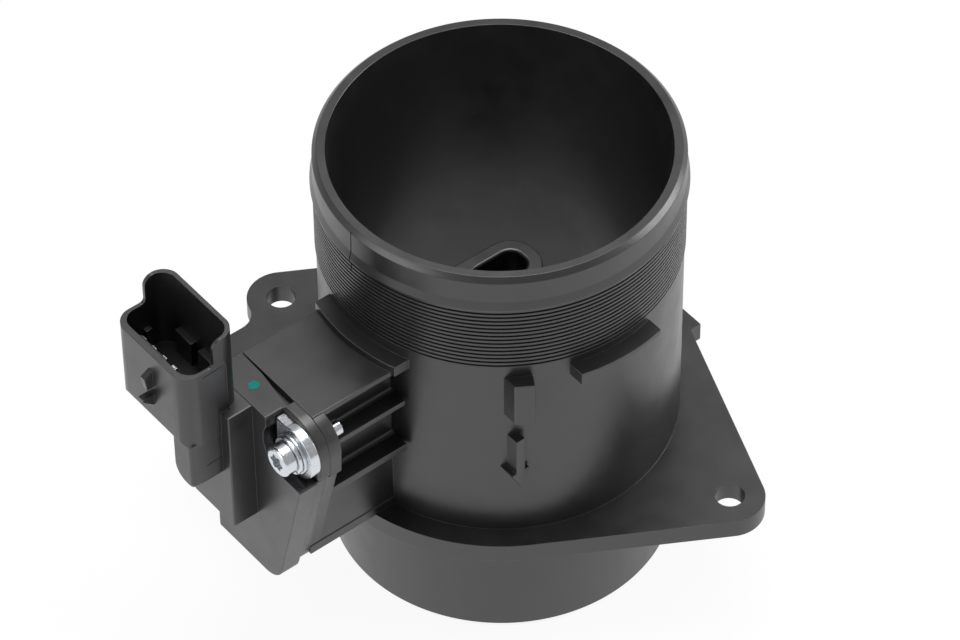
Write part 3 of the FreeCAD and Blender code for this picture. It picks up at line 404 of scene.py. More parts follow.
@dataclass(frozen=True)
class MouldedPlastic:
    """Glass-filled plastic from a lightly etched mould: a dull sheen over a fine grain.

    Attributes:
        name: What it is.
        dark: The darker tone of its mottle.
        pale: The paler tone.
        roughness: The middle of its roughness.
        duller: How far the mottle raises the roughness.
        glossier: How far it lowers it.
        grain: The size of the grain, in millimetres.
        grain_depth: Its depth, in millimetres.
        mottle: The size of the mottle, in millimetres.
        edge: The rounding that every edge shows, in millimetres.
        sheen: The specular level.
        refraction: The index of the glass-filled resin.
    """

    name: str
    dark: str
    pale: str
    roughness: float = 0.34
    duller: float = 0.05
    glossier: float = 0.04
    grain: float = 0.35
    grain_depth: float = 0.016
    mottle: float = 7.0
    edge: float = 0.16
    sheen: float = 0.7
    refraction: float = 1.58

    def material(self) -> bpy.types.Material:
        """Build the material."""
        made, tree = bare_material(self.name)
        spot = add_node(tree, "ShaderNodeTexCoord").outputs["Object"]
        cloud = add_node(tree, "ShaderNodeTexNoise", {
            "Vector": spot, "Scale": 1 / (self.mottle * MM), "Detail": 4.0, "Roughness": 0.6})
        grain = add_node(tree, "ShaderNodeTexNoise", {
            "Vector": spot, "Scale": 1 / (self.grain * MM), "Detail": 2.0, "Roughness": 0.55})
        colour = add_node(tree, "ShaderNodeMix", {
            "Factor": cloud.outputs["Fac"], "6": linear(self.dark), "7": linear(self.pale)},
            data_type="RGBA")
        rough = add_node(tree, "ShaderNodeMapRange", {
            "Value": cloud.outputs["Fac"], "From Min": 0.3, "From Max": 0.7,
            "To Min": self.roughness - self.glossier, "To Max": self.roughness + self.duller})
        rim = add_node(tree, "ShaderNodeBevel", {"Radius": self.edge * MM}, samples=6)
        bump = add_node(tree, "ShaderNodeBump", {
            "Strength": 0.5, "Distance": self.grain_depth * MM, "Height": grain.outputs["Fac"],
            "Normal": rim.outputs["Normal"]})
        shader = add_node(tree, "ShaderNodeBsdfPrincipled", {
            "Base Color": colour.outputs[2], "Roughness": rough.outputs["Result"],
            "IOR": self.refraction, "Specular IOR Level": self.sheen,
            "Normal": bump.outputs["Normal"]})
        add_node(tree, "ShaderNodeOutputMaterial", {"Surface": shader.outputs["BSDF"]})
        return made


@dataclass(frozen=True)
class PlatedMetal:
    """Metal with a thin bright plating: mirror-like, with faint turning and handling marks.

    Attributes:
        name: What it is.
        dark: The darker tone of its plating.
        pale: The paler tone.
        roughness: The middle of its roughness.
        duller: How far the marks raise the roughness.
        glossier: How far they lower it.
        grain: The size of the marks, in millimetres.
        grain_depth: Their depth, in millimetres.
        edge: The rounding that every edge shows, in millimetres.
    """

    name: str
    dark: str
    pale: str
    roughness: float = 0.2
    duller: float = 0.08
    glossier: float = 0.06
    grain: float = 0.8
    grain_depth: float = 0.003
    edge: float = 0.12

    def material(self) -> bpy.types.Material:
        """Build the material."""
        made, tree = bare_material(self.name)
        spot = add_node(tree, "ShaderNodeTexCoord").outputs["Object"]
        grain = add_node(tree, "ShaderNodeTexNoise", {
            "Vector": spot, "Scale": 1 / (self.grain * MM), "Detail": 3.0, "Roughness": 0.6})
        colour = add_node(tree, "ShaderNodeMix", {
            "Factor": grain.outputs["Fac"], "6": linear(self.dark), "7": linear(self.pale)},
            data_type="RGBA")
        rough = add_node(tree, "ShaderNodeMapRange", {
            "Value": grain.outputs["Fac"], "From Min": 0.3, "From Max": 0.7,
            "To Min": self.roughness - self.glossier, "To Max": self.roughness + self.duller})
        rim = add_node(tree, "ShaderNodeBevel", {"Radius": self.edge * MM}, samples=6)
        bump = add_node(tree, "ShaderNodeBump", {
            "Strength": 0.4, "Distance": self.grain_depth * MM, "Height": grain.outputs["Fac"],
            "Normal": rim.outputs["Normal"]})
        shader = add_node(tree, "ShaderNodeBsdfPrincipled", {
            "Base Color": colour.outputs[2], "Roughness": rough.outputs["Result"],
            "Metallic": 1.0, "Normal": bump.outputs["Normal"]})
        add_node(tree, "ShaderNodeOutputMaterial", {"Surface": shader.outputs["BSDF"]})
        return made


@dataclass(frozen=True)
class FiredOrDipped:
    """A small hard part, such as a ceramic plate, a potted chip or a dipped bead.

    Attributes:
        name: What it is.
        dark: The darker tone of its specks.
        pale: The paler tone.
        roughness: Its roughness.
        speck: The size of the specks, in millimetres.
        relief: Their depth, in millimetres.
    """

    name: str
    dark: str
    pale: str
    roughness: float = 0.5
    speck: float = 0.6
    relief: float = 0.01

    def material(self) -> bpy.types.Material:
        """Build the material."""
        made, tree = bare_material(self.name)
        spot = add_node(tree, "ShaderNodeTexCoord").outputs["Object"]
        speck = add_node(tree, "ShaderNodeTexNoise", {
            "Vector": spot, "Scale": 1 / (self.speck * MM), "Detail": 3.0, "Roughness": 0.6})
        colour = add_node(tree, "ShaderNodeMix", {
            "Factor": speck.outputs["Fac"], "6": linear(self.dark), "7": linear(self.pale)},
            data_type="RGBA")
        bump = add_node(tree, "ShaderNodeBump", {
            "Strength": 0.3, "Distance": self.relief * MM, "Height": speck.outputs["Fac"]})
        shader = add_node(tree, "ShaderNodeBsdfPrincipled", {
            "Base Color": colour.outputs[2], "Roughness": self.roughness,
            "Normal": bump.outputs["Normal"]})
        add_node(tree, "ShaderNodeOutputMaterial", {"Surface": shader.outputs["BSDF"]})
        return made


# Near-black duct with a soft sheen that brightens where it is seen at a shallow angle.
HOUSING_PLASTIC = MouldedPlastic("glass-filled PBT, moulded", "#141314", "#1c1b1c")
# The same black, a touch cooler and finer, so that the module reads as a second moulding.
MODULE_PLASTIC = MouldedPlastic("glass-filled PBT, fine moulded", "#131214", "#1b1a1c", grain=0.3)
# Dull dark line between module and socket.
SEAL_RUBBER = FiredOrDipped("silicone rubber, moulded", "#17181a", "#202124", 0.65)
# Deep green, slightly glossy board.
BOARD_LAMINATE = FiredOrDipped("glass-epoxy board, green solder resist", "#0e4a2c", "#14603a", 0.35)
# Flat black block on the green board.
CHIP_PACKAGE = FiredOrDipped("epoxy chip package, moulded", "#151517", "#202022", 0.55)
# Tan bricks, the warmest tone inside.
CAPACITOR_CERAMIC = FiredOrDipped("barium titanate ceramic, fired", "#8a6a48", "#a1805b", 0.45)
# Matt white carrier that stands out in the channel.
SENSOR_CERAMIC = FiredOrDipped("alumina, fired white", "#dfddd5", "#f0eee8", 0.6)
# Small blue-grey mirror on the white carrier.
FILM_SILICON = FiredOrDipped("silicon die, polished", "#262c3c", "#343c50", 0.15)
# Glossy blue-black drop on its two leads.
BEAD_COATING = FiredOrDipped("epoxy bead, dipped", "#14182a", "#1d2440", 0.2)
# Bright bluish silver, the only highlights in the picture.
ZINC_STEEL = PlatedMetal("zinc-plated steel, bright", "#c9cdd2", "#e3e6ea")
# Softer, warmer silver of the contacts and leads.
TINNED_BRASS = PlatedMetal("tinned brass, stamped", "#b9b7b0", "#d0cec8", roughness=0.3)
# Yellow glint of the inserts behind the screws.
TURNED_BRASS = PlatedMetal("free-cutting brass, turned", "#b5924a", "#cdaa62", roughness=0.28)
# The one spot of colour: flat teal on the black module.
MARKING_PAINT = FiredOrDipped("inspection paint, teal, dabbed", "#006c62", "#008c80", 0.9, 0.5)


def dress(item: bpy.types.Object, material: bpy.types.Material) -> None:
    """Give a piece one material."""
    item.data.materials.clear()
    item.data.materials.append(material)


def settle(item: bpy.types.Object, material: bpy.types.Material, slot: str, *nodes: str) -> None:
    """Dress a finished piece, let it ride on the part and stand for its nodes.

    Args:
        item: The piece.
        material: Its finish.
        slot: The name of a material slot; not used.
        nodes: The solids that it stands for.
    """
    finish_mesh(item)
    dress(item, material)
    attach(item, "root")
    if nodes:
        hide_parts(*nodes)
    log.info("%s stands for %s", item.name, ", ".join(nodes) or "a small extra")


# Duct housing


@dataclass
class DuctHousing:
    """The moulded duct: tube, hose end, flange, socket and raised pieces."""

    length: float = 121.1
    tube: float = 43.0
    spigot: float = 42.2
    bore_low: float = 39.8
    bore_throat: float = 39.2
    bore_mouth: float = 40.0
    land: float = 43.3
    land_low: float = 92.4
    land_high: float = 111.2
    land_step: float = 0.15
    bead: tuple[Point2, ...] = ((43.75, 111.5), (43.85, 111.75), (43.85, 112.15),
                                (43.3, 113.95), (43.22, 114.3), (43.15, 119.75),
                                (43.08, 119.98), (42.2, 120.95))
    lip: float = 42.0
    inside: float = 38.0
    past_mouth: float = 123.0
    grooves: int = 15
    groove_pitch: float = 1.22
    groove_depth: float = 0.45
    groove_mouth: float = 0.3
    groove_floor: float = 0.22
    flange_low: float = 31.44
    flange_high: float = 36.64
    flange_round: float = 48.5
    hole_circle: float = 63.05
    hole_angle: float = -70.0
    hole: float = 3.6
    lug: float = 8.5
    joint: float = -66.9
    buried: float = 41.2
    turns: int = 288

    def profile(self) -> list[Point2]:
        """The tube's section: up the outside, over the lip and down the bore."""
        shoulder = 33.0
        points = [(self.inside, 0.0), (41.1, 0.0), (self.spigot, 1.3), (self.spigot, shoulder),
                  (self.tube, shoulder), (self.tube, self.land_low),
                  (self.land, self.land_low + self.land_step)]
        for number in reversed(range(self.grooves)):
            middle = self.land_high - self.groove_pitch * (number + 0.7)
            floor = self.land - self.groove_depth
            points += [(self.land, middle - self.groove_mouth),
                       (floor, middle - self.groove_floor), (floor, middle + self.groove_floor),
                       (self.land, middle + self.groove_mouth)]
        points += [(self.land, self.land_high), *self.bead, (self.lip, self.length)]
        return points + [(self.inside, self.length)]

    def bore(self) -> bpy.types.Object:
        """The bore, as a tool that cuts."""
        start, below = 10.0, -1.0
        lead_in, mouth = self.bore_low + 0.3, self.bore_mouth + 0.1
        points = [(start, below), (lead_in, below), (lead_in, 0.0),
                  (self.bore_low, 0.4), (self.bore_throat, 38.0), (self.bore_throat, 88.0),
                  (self.bore_mouth, self.length - 0.12), (mouth, self.length),
                  (mouth, self.past_mouth), (start, self.past_mouth)]
        return turned("bore", points, self.turns)

    def core(self) -> bpy.types.Object:
        """The middle of the bore, which the turned tool leaves."""
        return rod("core", (0, 0), 20.0, Axis.Z, -1.5, 123.5)

    def flange_outline(self) -> list[Point2]:
        """The flange from above: near lug, side tab, far lug, wing and round part."""
        near = polar(self.hole_circle, self.hole_angle)
        far = polar(self.hole_circle, self.hole_angle + 180)
        spread = math.degrees(math.acos((self.flange_round - self.lug) / self.hole_circle))
        points = arc(near, self.lug, self.hole_angle - spread, -21.6, 14)
        points += [(49.15, -12.65), (52.3, -12.65), (52.3, 8.95), (47.67, 8.95)]
        points += arc((0, 0), self.flange_round, 10.7, self.hole_angle + 180 - spread, 20)
        points += arc(far, self.lug, self.hole_angle + 180 - spread, 166.6, 16)
        points += arc((-35.18, 62.5), 5.5, -13.4, -90, 8)[1:]
        points += arc((-49.0, 49.0), 8.0, 90, 180, 8) + [(-57.0, 8.0)]
        points += arc((0, 0), self.flange_round, 170.5, 360 + self.hole_angle - spread, 30)
        return points

    def flange(self) -> bpy.types.Object:
        """The flange plate with its rounded rim."""
        return drawn_out("flange", self.flange_outline(), Axis.Z, self.flange_low,
                         self.flange_high, 0.35)

    def raised(self) -> list[bpy.types.Object]:
        """Curved stops, the square block and the flow arrow."""
        stop = [(-12.75, -38.0)] + arc((0, 0), 47.2, -105.67, -77.4, 16) + [(10.3, -38.5)]
        hook = [(-12.75, -38.0), (-12.75, -45.4), (-11.4, -45.7), (-11.4, -38.0)]
        curb = arc((0, 0), 46.9, 165.3, 200.1, 18) + [(-38.5, -16.1), (-39.7, 11.9)]
        block_outline = [(-26.4, -32.3), (-26.4, -37.8)] + arc((0, 0), 46.4, -124.6, -118.9, 3)
        block_outline += [polar(self.buried - 1, -118.9)]
        return [drawn_out("stop", stop, Axis.Z, 88.9, 90.4, 0.2),
                drawn_out("hook", hook, Axis.Z, 86.9, 90.3, 0.1),
                drawn_out("curb", curb, Axis.Z, 86.3, 89.4, 0.2),
                drawn_out("square_block", block_outline, Axis.Z, 76.5, 89.2, 0.35), self.arrow()]

    def arrow(self) -> bpy.types.Object:
        """The flow arrow, which points to the lower end."""
        middle, shaft, head = -24.6, 1.25, 2.6
        top, barb, tip = 69.8, 59.0, 53.9
        outline = [(middle - shaft, top), (middle - shaft, barb), (middle - head, barb),
                   (middle, tip), (middle + head, barb), (middle + shaft, barb),
                   (middle + shaft, top)]
        return drawn_out("arrow", outline, Axis.Y, -37.9, -32.0, 0.12)

    def socket(self) -> list[bpy.types.Object]:
        """Box, foot, roof, ribs and plate that carry the sensor module."""
        end = -self.buried
        box = block("socket_box", self.joint + 0.4, end, -11.1, 7.4, 36.9, 86.2, 0.0)
        foot = block("socket_foot", self.joint + 0.5, end, -11.3, 7.6, 36.4, 39.0, 0.12)
        roof = block("roof", self.joint, end, -15.1, 11.4, 85.75, 87.4, 0.3)
        behind = self.joint + 1.5
        rib = block("rib", behind, end, -16.1, 12.4, 74.85, 76.45, CRISP_EDGE)
        ledge = block("ledge", behind, end, -16.3, 12.4, 59.7, 61.8, CRISP_EDGE)
        outline = rounded(ModuleShell.ear_corners(0.9), 12)
        plate = drawn_out("mating_plate", outline, Axis.X, self.joint, self.joint + 3.5, 0.35)
        corners = []
        for low in (76.2, 61.6):
            corners.append(drawn_out("inner_corner", [(-11.05, low), (-11.05, low + 1.0)]
                                     + arc((-12.0, low + 1.2), 0.9, 0, -90, 5), Axis.X,
                                     self.joint + 2, end, 0.0))
        return [box, foot, roof, rib, ledge, plate] + corners

    def mould_split(self) -> list[bpy.types.Object]:
        """The fine lines that the mould's split leaves across the bead, as tools that cut."""
        half, floor, outside = 0.14, 42.85, 45.0
        return [block("split", *sorted((side * floor, side * outside)), -half, half,
                      108.0, 120.3, 0.0) for side in (-1, 1)]

    def build(self, material: bpy.types.Material) -> bpy.types.Object:
        """Model the housing as one moulding and dress it."""
        body = turned("duct_housing", self.profile(), self.turns)
        combine(body, [self.flange()] + self.socket() + self.raised(), Join.ADD)
        near = polar(self.hole_circle, self.hole_angle)
        far = (-near[0], -near[1])
        cuts = [rod("hole", spot, self.hole, Axis.Z, 25, 45) for spot in (near, far)]
        cuts += [self.bore(), self.core()]
        cuts.append(block("opening", -80, -20, -9.35, 5.65, 40.1, 83.1, 0.0))
        cuts += [rod("insert_hole", spot, 3.0, Axis.X, -68, -60) for spot in SCREWS]
        cuts += self.mould_split()
        combine(body, cuts, Join.CUT)
        settle(body, material, "housing_plastic", "tube_housing")
        return body


# Sensor module


@dataclass
class ModuleShell:
    """The moulded module: plate with ears, slab, boss, plug shroud, neck and finger."""

    joint: float = -66.9
    plate: float = -70.2
    slab: float = -75.2
    boss: float = -82.0
    top: float = 87.4

    @staticmethod
    def ear_corners(inset: float) -> list[Corner]:
        """The outline of the plate that carries both screws, as rounded corners."""
        return [(-10.33 + inset, 32.0 + inset, 6.0), (12.85 - inset, 32.0 + inset, 0.6),
                (12.85 - inset, 53.4, 1.5), (26.55, 53.4, 8.55), (26.55, 70.6, 8.55),
                (11.4, 70.6, 1.5), (11.4, 87.4, 0.6), (-21.65, 87.4, 8.55),
                (-21.0, 72.3, 0.6), (-20.5 + inset, 72.1 - inset, 0.4)]

    def slab_outline(self) -> list[Point2]:
        """The slab in front of the plate."""
        hollow = arc(NEAR_SCREW, 8.05, 34.3, -70.8, 12)
        corners = [(-10.33, 32.0, 6.5), (12.85, 32.0, 0.5), (12.85, 78.8, 0.5), (11.4, 87.4, 0.5),
                   (-8.45, 87.4, 0.5)]
        corners += [(across, up, 0.0) for across, up in hollow] + [(-20.5, 72.1, 0.5)]
        return rounded(corners)

    def shroud(self) -> bpy.types.Object:
        """The plug shroud: a stepped rim over a rounded box, open at the top."""
        side = rounded([(-91.8, 80.1, 2.5), (-75.9, 80.1, 0.2), (-75.9, 110.7, 0.2),
                        (-83.0, 110.7, 2.6), (-83.0, 103.1, 1.2), (-91.8, 103.1, 0.2)])
        item = drawn_out("shroud", side, Axis.Y, -2.0, 28.0)
        footprint = rounded(oblong(-91.8, -75.9, -0.6, 26.2, 4.5), 10)
        combine(item, [drawn_out("footprint", footprint, Axis.Z, 70, 120)], Join.KEEP)
        mouth = rounded(oblong(-90.1, -77.1, 0.3, 25.3, 3.6), 10)
        combine(item, [drawn_out("mouth", mouth, Axis.Z, 88, 120)], Join.CUT)
        soften(item, 0.35, 3, 50)
        return item

    def shroud_details(self) -> list[bpy.types.Object]:
        """Rails inside the shroud and the two latch lugs on its front."""
        rail = block("front_rail", -90.6, -89.0, 8.9, 19.1, 87, 101.9, 0.25)
        far_rail = block("far_back_rail", -78.7, -76.6, 14.6, 20.8, 87, 95.1, 0.2)
        near_rail = block("near_back_rail", -78.7, -76.6, 6.6, 12.1, 87, 95.1, 0.2)
        end_rail = block("end_rail", -84.2, -82.2, 24.2, 25.8, 87, 95.1, 0.2)
        upper = drawn_out("upper_latch", [(-90.95, 92.5), (-90.95, 97.8), (-91.8, 97.8),
                                          (-94.1, 96.5), (-93.5, 92.5)], Axis.Y, 11.3, 12.9,
                          CRISP_EDGE)
        lower = drawn_out("lower_latch", [(-90.95, 86.6), (-90.95, 90.1), (-94.9, 90.1),
                                          (-94.9, 89.3), (-91.8, 86.6)], Axis.Y, 11.3, 13.2,
                          CRISP_EDGE)
        return [rail, far_rail, near_rail, end_rail, upper, lower]

    def finger(self) -> list[bpy.types.Object]:
        """The neck and the finger that reaches into the duct."""
        outline = rounded([(self.joint - 0.5, -9.25, 0), (8.6, -9.25, 6.3), (8.6, 5.0, 6.3),
                           (-14.0, 5.55, 0), (self.joint - 0.5, 5.55, 0)], 12)
        return [drawn_out("finger", outline, Axis.Z, 40.2, 83.0, 0.4)]

    def channel(self) -> bpy.types.Object:
        """The measuring channel with its flared inlet, as a tool that cuts."""
        base = rounded(oblong(-8.4, 5.0, -5.7, 1.7, 3.0), 10)
        wide = rounded(oblong(-9.2, 5.8, -6.5, 2.5, 3.8), 10)
        count = len(base)
        levels = [(base, 39.0)]
        steps = 6
        for step in range(steps + 1):
            turn = math.radians(90 * step / steps)
            share = 1 - math.cos(turn)
            ring = [(a[0] + (b[0] - a[0]) * share, a[1] + (b[1] - a[1]) * share)
                    for a, b in zip(base, wide)]
            levels.append((ring, 82.2 + 0.8 * math.sin(turn)))
        levels.append((wide, 85.0))
        points = [place(Axis.Z, level, *spot) for ring, level in levels for spot in ring]
        faces = [tuple(reversed(range(count))), tuple(range(len(points) - count, len(points)))]
        for layer in range(len(levels) - 1):
            low = layer * count
            for index in range(count):
                after = (index + 1) % count
                faces.append((low + index, low + after, low + count + after, low + count + index))
        mesh = bpy.data.meshes.new("channel")
        mesh.from_pydata(points, [], faces)
        item = bpy.data.objects.new("channel", mesh)
        bpy.context.collection.objects.link(item)
        outwards(item)
        return item

    def marks(self) -> list[bpy.types.Object]:
        """Fine lines and a slot in the near side of web, boss and shroud, as tools that cut."""
        shroud_face, web_face, depth, width, outside = -0.6, -0.4, 0.16, 0.25, -1.0
        arrow = engraved("mark", [(-86.4, 72.3), (-82.2, 72.6)], width, Axis.Y, outside,
                         web_face + depth)
        line = engraved("line", [(-79.75, 86.1), (-79.75, 102.1), (-86.1, 101.7)], width, Axis.Y,
                        outside, shroud_face + depth)
        slot = drawn_out("slot", rounded(oblong(-81.6, -80.6, 68.2, 71.0, 0.3)), Axis.Y, -1.5, 0.2)
        return arrow + line + [slot]

    def build(self, material: bpy.types.Material) -> bpy.types.Object:
        """Model the shell as one moulding and dress it."""
        body = drawn_out("module_shell", self.slab_outline(), Axis.X, self.slab, self.plate + 0.3,
                         0.25)
        corners = self.ear_corners(0.9)
        middle = (corners[:3] + [(13.0, 70.6, 0.5)] + corners[5:7]
                  + [(-8.6, self.top, 0.0), (-8.6, 72.1, 0.0)] + corners[9:])
        plate = drawn_out("plate", rounded(middle, 8), Axis.X, self.plate, self.joint, 0.25)
        near_ear = rounded([(-2.0, 72.3, 1.4), (-2.0, 87.4, 1.4), (-21.65, 87.4, 8.55),
                            (-21.0, 72.3, 1.4)], 12)
        far_ear = rounded([(8.0, 53.4, 1.4), (26.55, 53.4, 8.55), (26.55, 70.6, 8.55),
                           (8.0, 70.6, 1.4)], 12)
        ears = [drawn_out("ear", outline, Axis.X, self.plate, self.joint)
                for outline in (near_ear, far_ear)]
        for ear in ears:
            round_rim(ear, Axis.X, self.plate, 1.1)
        boss = block("boss", self.boss, self.slab + 1, -3.3, 12.2, 50.3, self.top - 0.2, 0.45)
        section = rounded([(-0.4, 66.2, 1.8), (7.2, 66.2, 4.5), (7.2, 81.0, 0), (-0.4, 81.0, 0)], 8)
        web = drawn_out("web", section, Axis.X, -90.6, self.boss + 1)
        round_rim(web, Axis.X, -90.6, 1.2, 6)
        tools = ears + [plate, boss, web, self.shroud()] + self.finger() + self.shroud_details()
        combine(body, tools, Join.ADD)
        gap = [(-69.0, -8.4), (-66.5, -8.4), (-66.5, 11.0), (-67.1, 11.0), (-67.4, 3.0)]
        cuts = [self.channel(), drawn_out("wedge", gap, Axis.Z, 85.6, 88)]
        cuts += [rod("screw_hole", spot, 2.3, Axis.X, -72, -60) for spot in SCREWS]
        combine(body, cuts, Join.CUT)
        combine(body, self.marks(), Join.CUT)
        settle(body, material, "module_plastic", "sensor_housing")
        return body


# Screwed joints


@dataclass
class ScrewedJoint:
    """One screw with its washers and clamp plate, lying along X."""

    number: int
    side: float
    level: float
    flat_up: int
    seat: float = -70.2

    def around(self, name: str, profile: list[Point2], foot: float, steps: int = 72,
               sweep: float = 360.0) -> bpy.types.Object:
        """A turned piece on the screw's axis, its heights measured outwards."""
        centre = Vector((foot, self.side, self.level))
        return turned(name, profile, steps, centre, Vector((-1, 0, 0)), sweep)

    def screw(self) -> bpy.types.Object:
        """The screw: threaded shank, round head and six-lobe socket."""
        foot = self.seat - 4.1
        profile = [(0.01, -14.7), (1.75, -14.7), (1.95, -14.5), (1.95, -11.6)]
        pitch, crest, root = 0.7, 2.0, 1.62
        height = -11.3
        while height < -2.5:
            profile += [(root, height), (crest, height + pitch / 2)]
            height += pitch
        profile += [(root, height), (crest - 0.05, height + 0.3), (crest - 0.05, -0.2), (2.3, 0.0)]
        profile += [(3.85, 0.0), (4.0, 0.15), (4.0, 2.15)] + arc((3.1, 2.3), 0.9, 10, 75, 6)
        profile += [(2.75, 3.2), (2.5, 3.15), (0.01, 3.15)]
        item = self.around(f"screw_{self.number}", profile, foot)
        lobes = []
        for step in range(72):
            angle = step * 5.0
            reach = 1.95 + 0.3 * math.cos(math.radians(6 * angle))
            across, up = polar(reach, angle)
            lobes.append((self.side + across, self.level + up))
        combine(item, [drawn_out("six_lobes", lobes, Axis.X, foot - 1.4, foot - 4.0)], Join.CUT)
        return item

    def spring_washer(self) -> bpy.types.Object:
        """A split washer."""
        profile = rounded([(2.2, 0.05, 0.1), (4.85, 0.05, 0.2), (4.85, 0.95, 0.2),
                           (2.2, 0.95, 0.1)], 3)
        return self.around(f"split_washer_{self.number}", profile, self.seat - 3.1, 84, 350)

    def flat_washer(self) -> bpy.types.Object:
        """A plain washer."""
        profile = rounded([(2.2, 0, 0.1), (5.3, 0, 0.15), (5.3, 0.8, 0.2), (2.2, 0.8, 0.1)], 3)
        return self.around(f"plain_washer_{self.number}", profile, self.seat - 2.3)

    def clamp_plate(self) -> bpy.types.Object:
        """The thick round plate with a squared tab, its hidden corner cut off."""
        half, corner, turn = 6.4, 1.7, 66.14
        outline = [(half - corner, -half), (half, corner - half), (half, half)]
        outline += arc((0, 0), 7.0, turn, 360 - turn, 56)
        spots = [(self.side + across * self.flat_up, self.level + up * self.flat_up)
                 for across, up in outline]
        item = drawn_out(f"bevelled_plate_{self.number}", spots, Axis.X, self.seat,
                         self.seat - 2.3)
        round_rim(item, Axis.X, self.seat - 2.3, 0.3, 3)
        hole = rod("hole", (self.side, self.level), 2.2, Axis.X, self.seat + 1, self.seat - 4)
        combine(item, [hole], Join.CUT)
        return item

    def build(self, material: bpy.types.Material) -> None:
        """Model the joint's pieces and dress them."""
        settle(self.screw(), material, "zinc_steel", f"module_screw_{self.number}")
        settle(self.spring_washer(), material, "zinc_steel", f"spring_washer_{self.number}")
        settle(self.flat_washer(), material, "zinc_steel", f"flat_washer_{self.number}")
        settle(self.clamp_plate(), material, "zinc_steel", f"clamp_plate_{self.number}")


# Small extras


@dataclass
class PaintDab:
    """The inspector's dab of teal paint on the module's top."""

    across: float = -71.0
    along: float = 1.4
    level: float = 87.4
    reach: float = 1.4

    def build(self, material: bpy.types.Material) -> None:
        """Model the dab as a low uneven drop."""
        wobble = (1.0, 0.93, 1.05, 0.98, 1.08, 0.9, 1.0, 1.1, 0.95, 1.02, 0.92, 1.04)
        outline = []
        for step in range(48):
            part = step / 4
            first, second = wobble[int(part) % 12], wobble[(int(part) + 1) % 12]
            reach = self.reach * (first + (second - first) * (part % 1))
            across, up = polar(reach, step * 7.5)
            outline.append((self.across + across, self.along + up * 0.9))
        item = drawn_out("paint_dab", outline, Axis.Z, self.level - 0.02, self.level + 0.06, 0.03)
        settle(item, material, "module_plastic")


# Electronics


@dataclass(frozen=True)
class Electronics:
    """The hidden pieces keep their solids and get their finishes."""

    finishes: tuple[tuple[str, str], ...] = (
        ("electronics_lid", "module"), ("housing_seal", "seal"), ("circuit_board", "board"),
        ("signal_chip", "chip"), ("capacitor", "capacitor"), ("sensor_plate", "ceramic"),
        ("heated_film", "film"), ("thermistor_bead", "bead"), ("thermistor_lead", "tin"),
        ("contact", "tin"), ("threaded_insert", "brass"))

    def build(self, nodes: dict[str, bpy.types.Object],
              materials: dict[str, bpy.types.Material]) -> None:
        """Dress every solid whose name starts with a listed word."""
        for name, item in nodes.items():
            for start, finish in self.finishes:
                if name.startswith(start):
                    for place_in_list in range(len(item.material_slots)):
                        item.material_slots[place_in_list].material = materials[finish]
                    log.info("%s is dressed as %s", name, finish)


# Studio


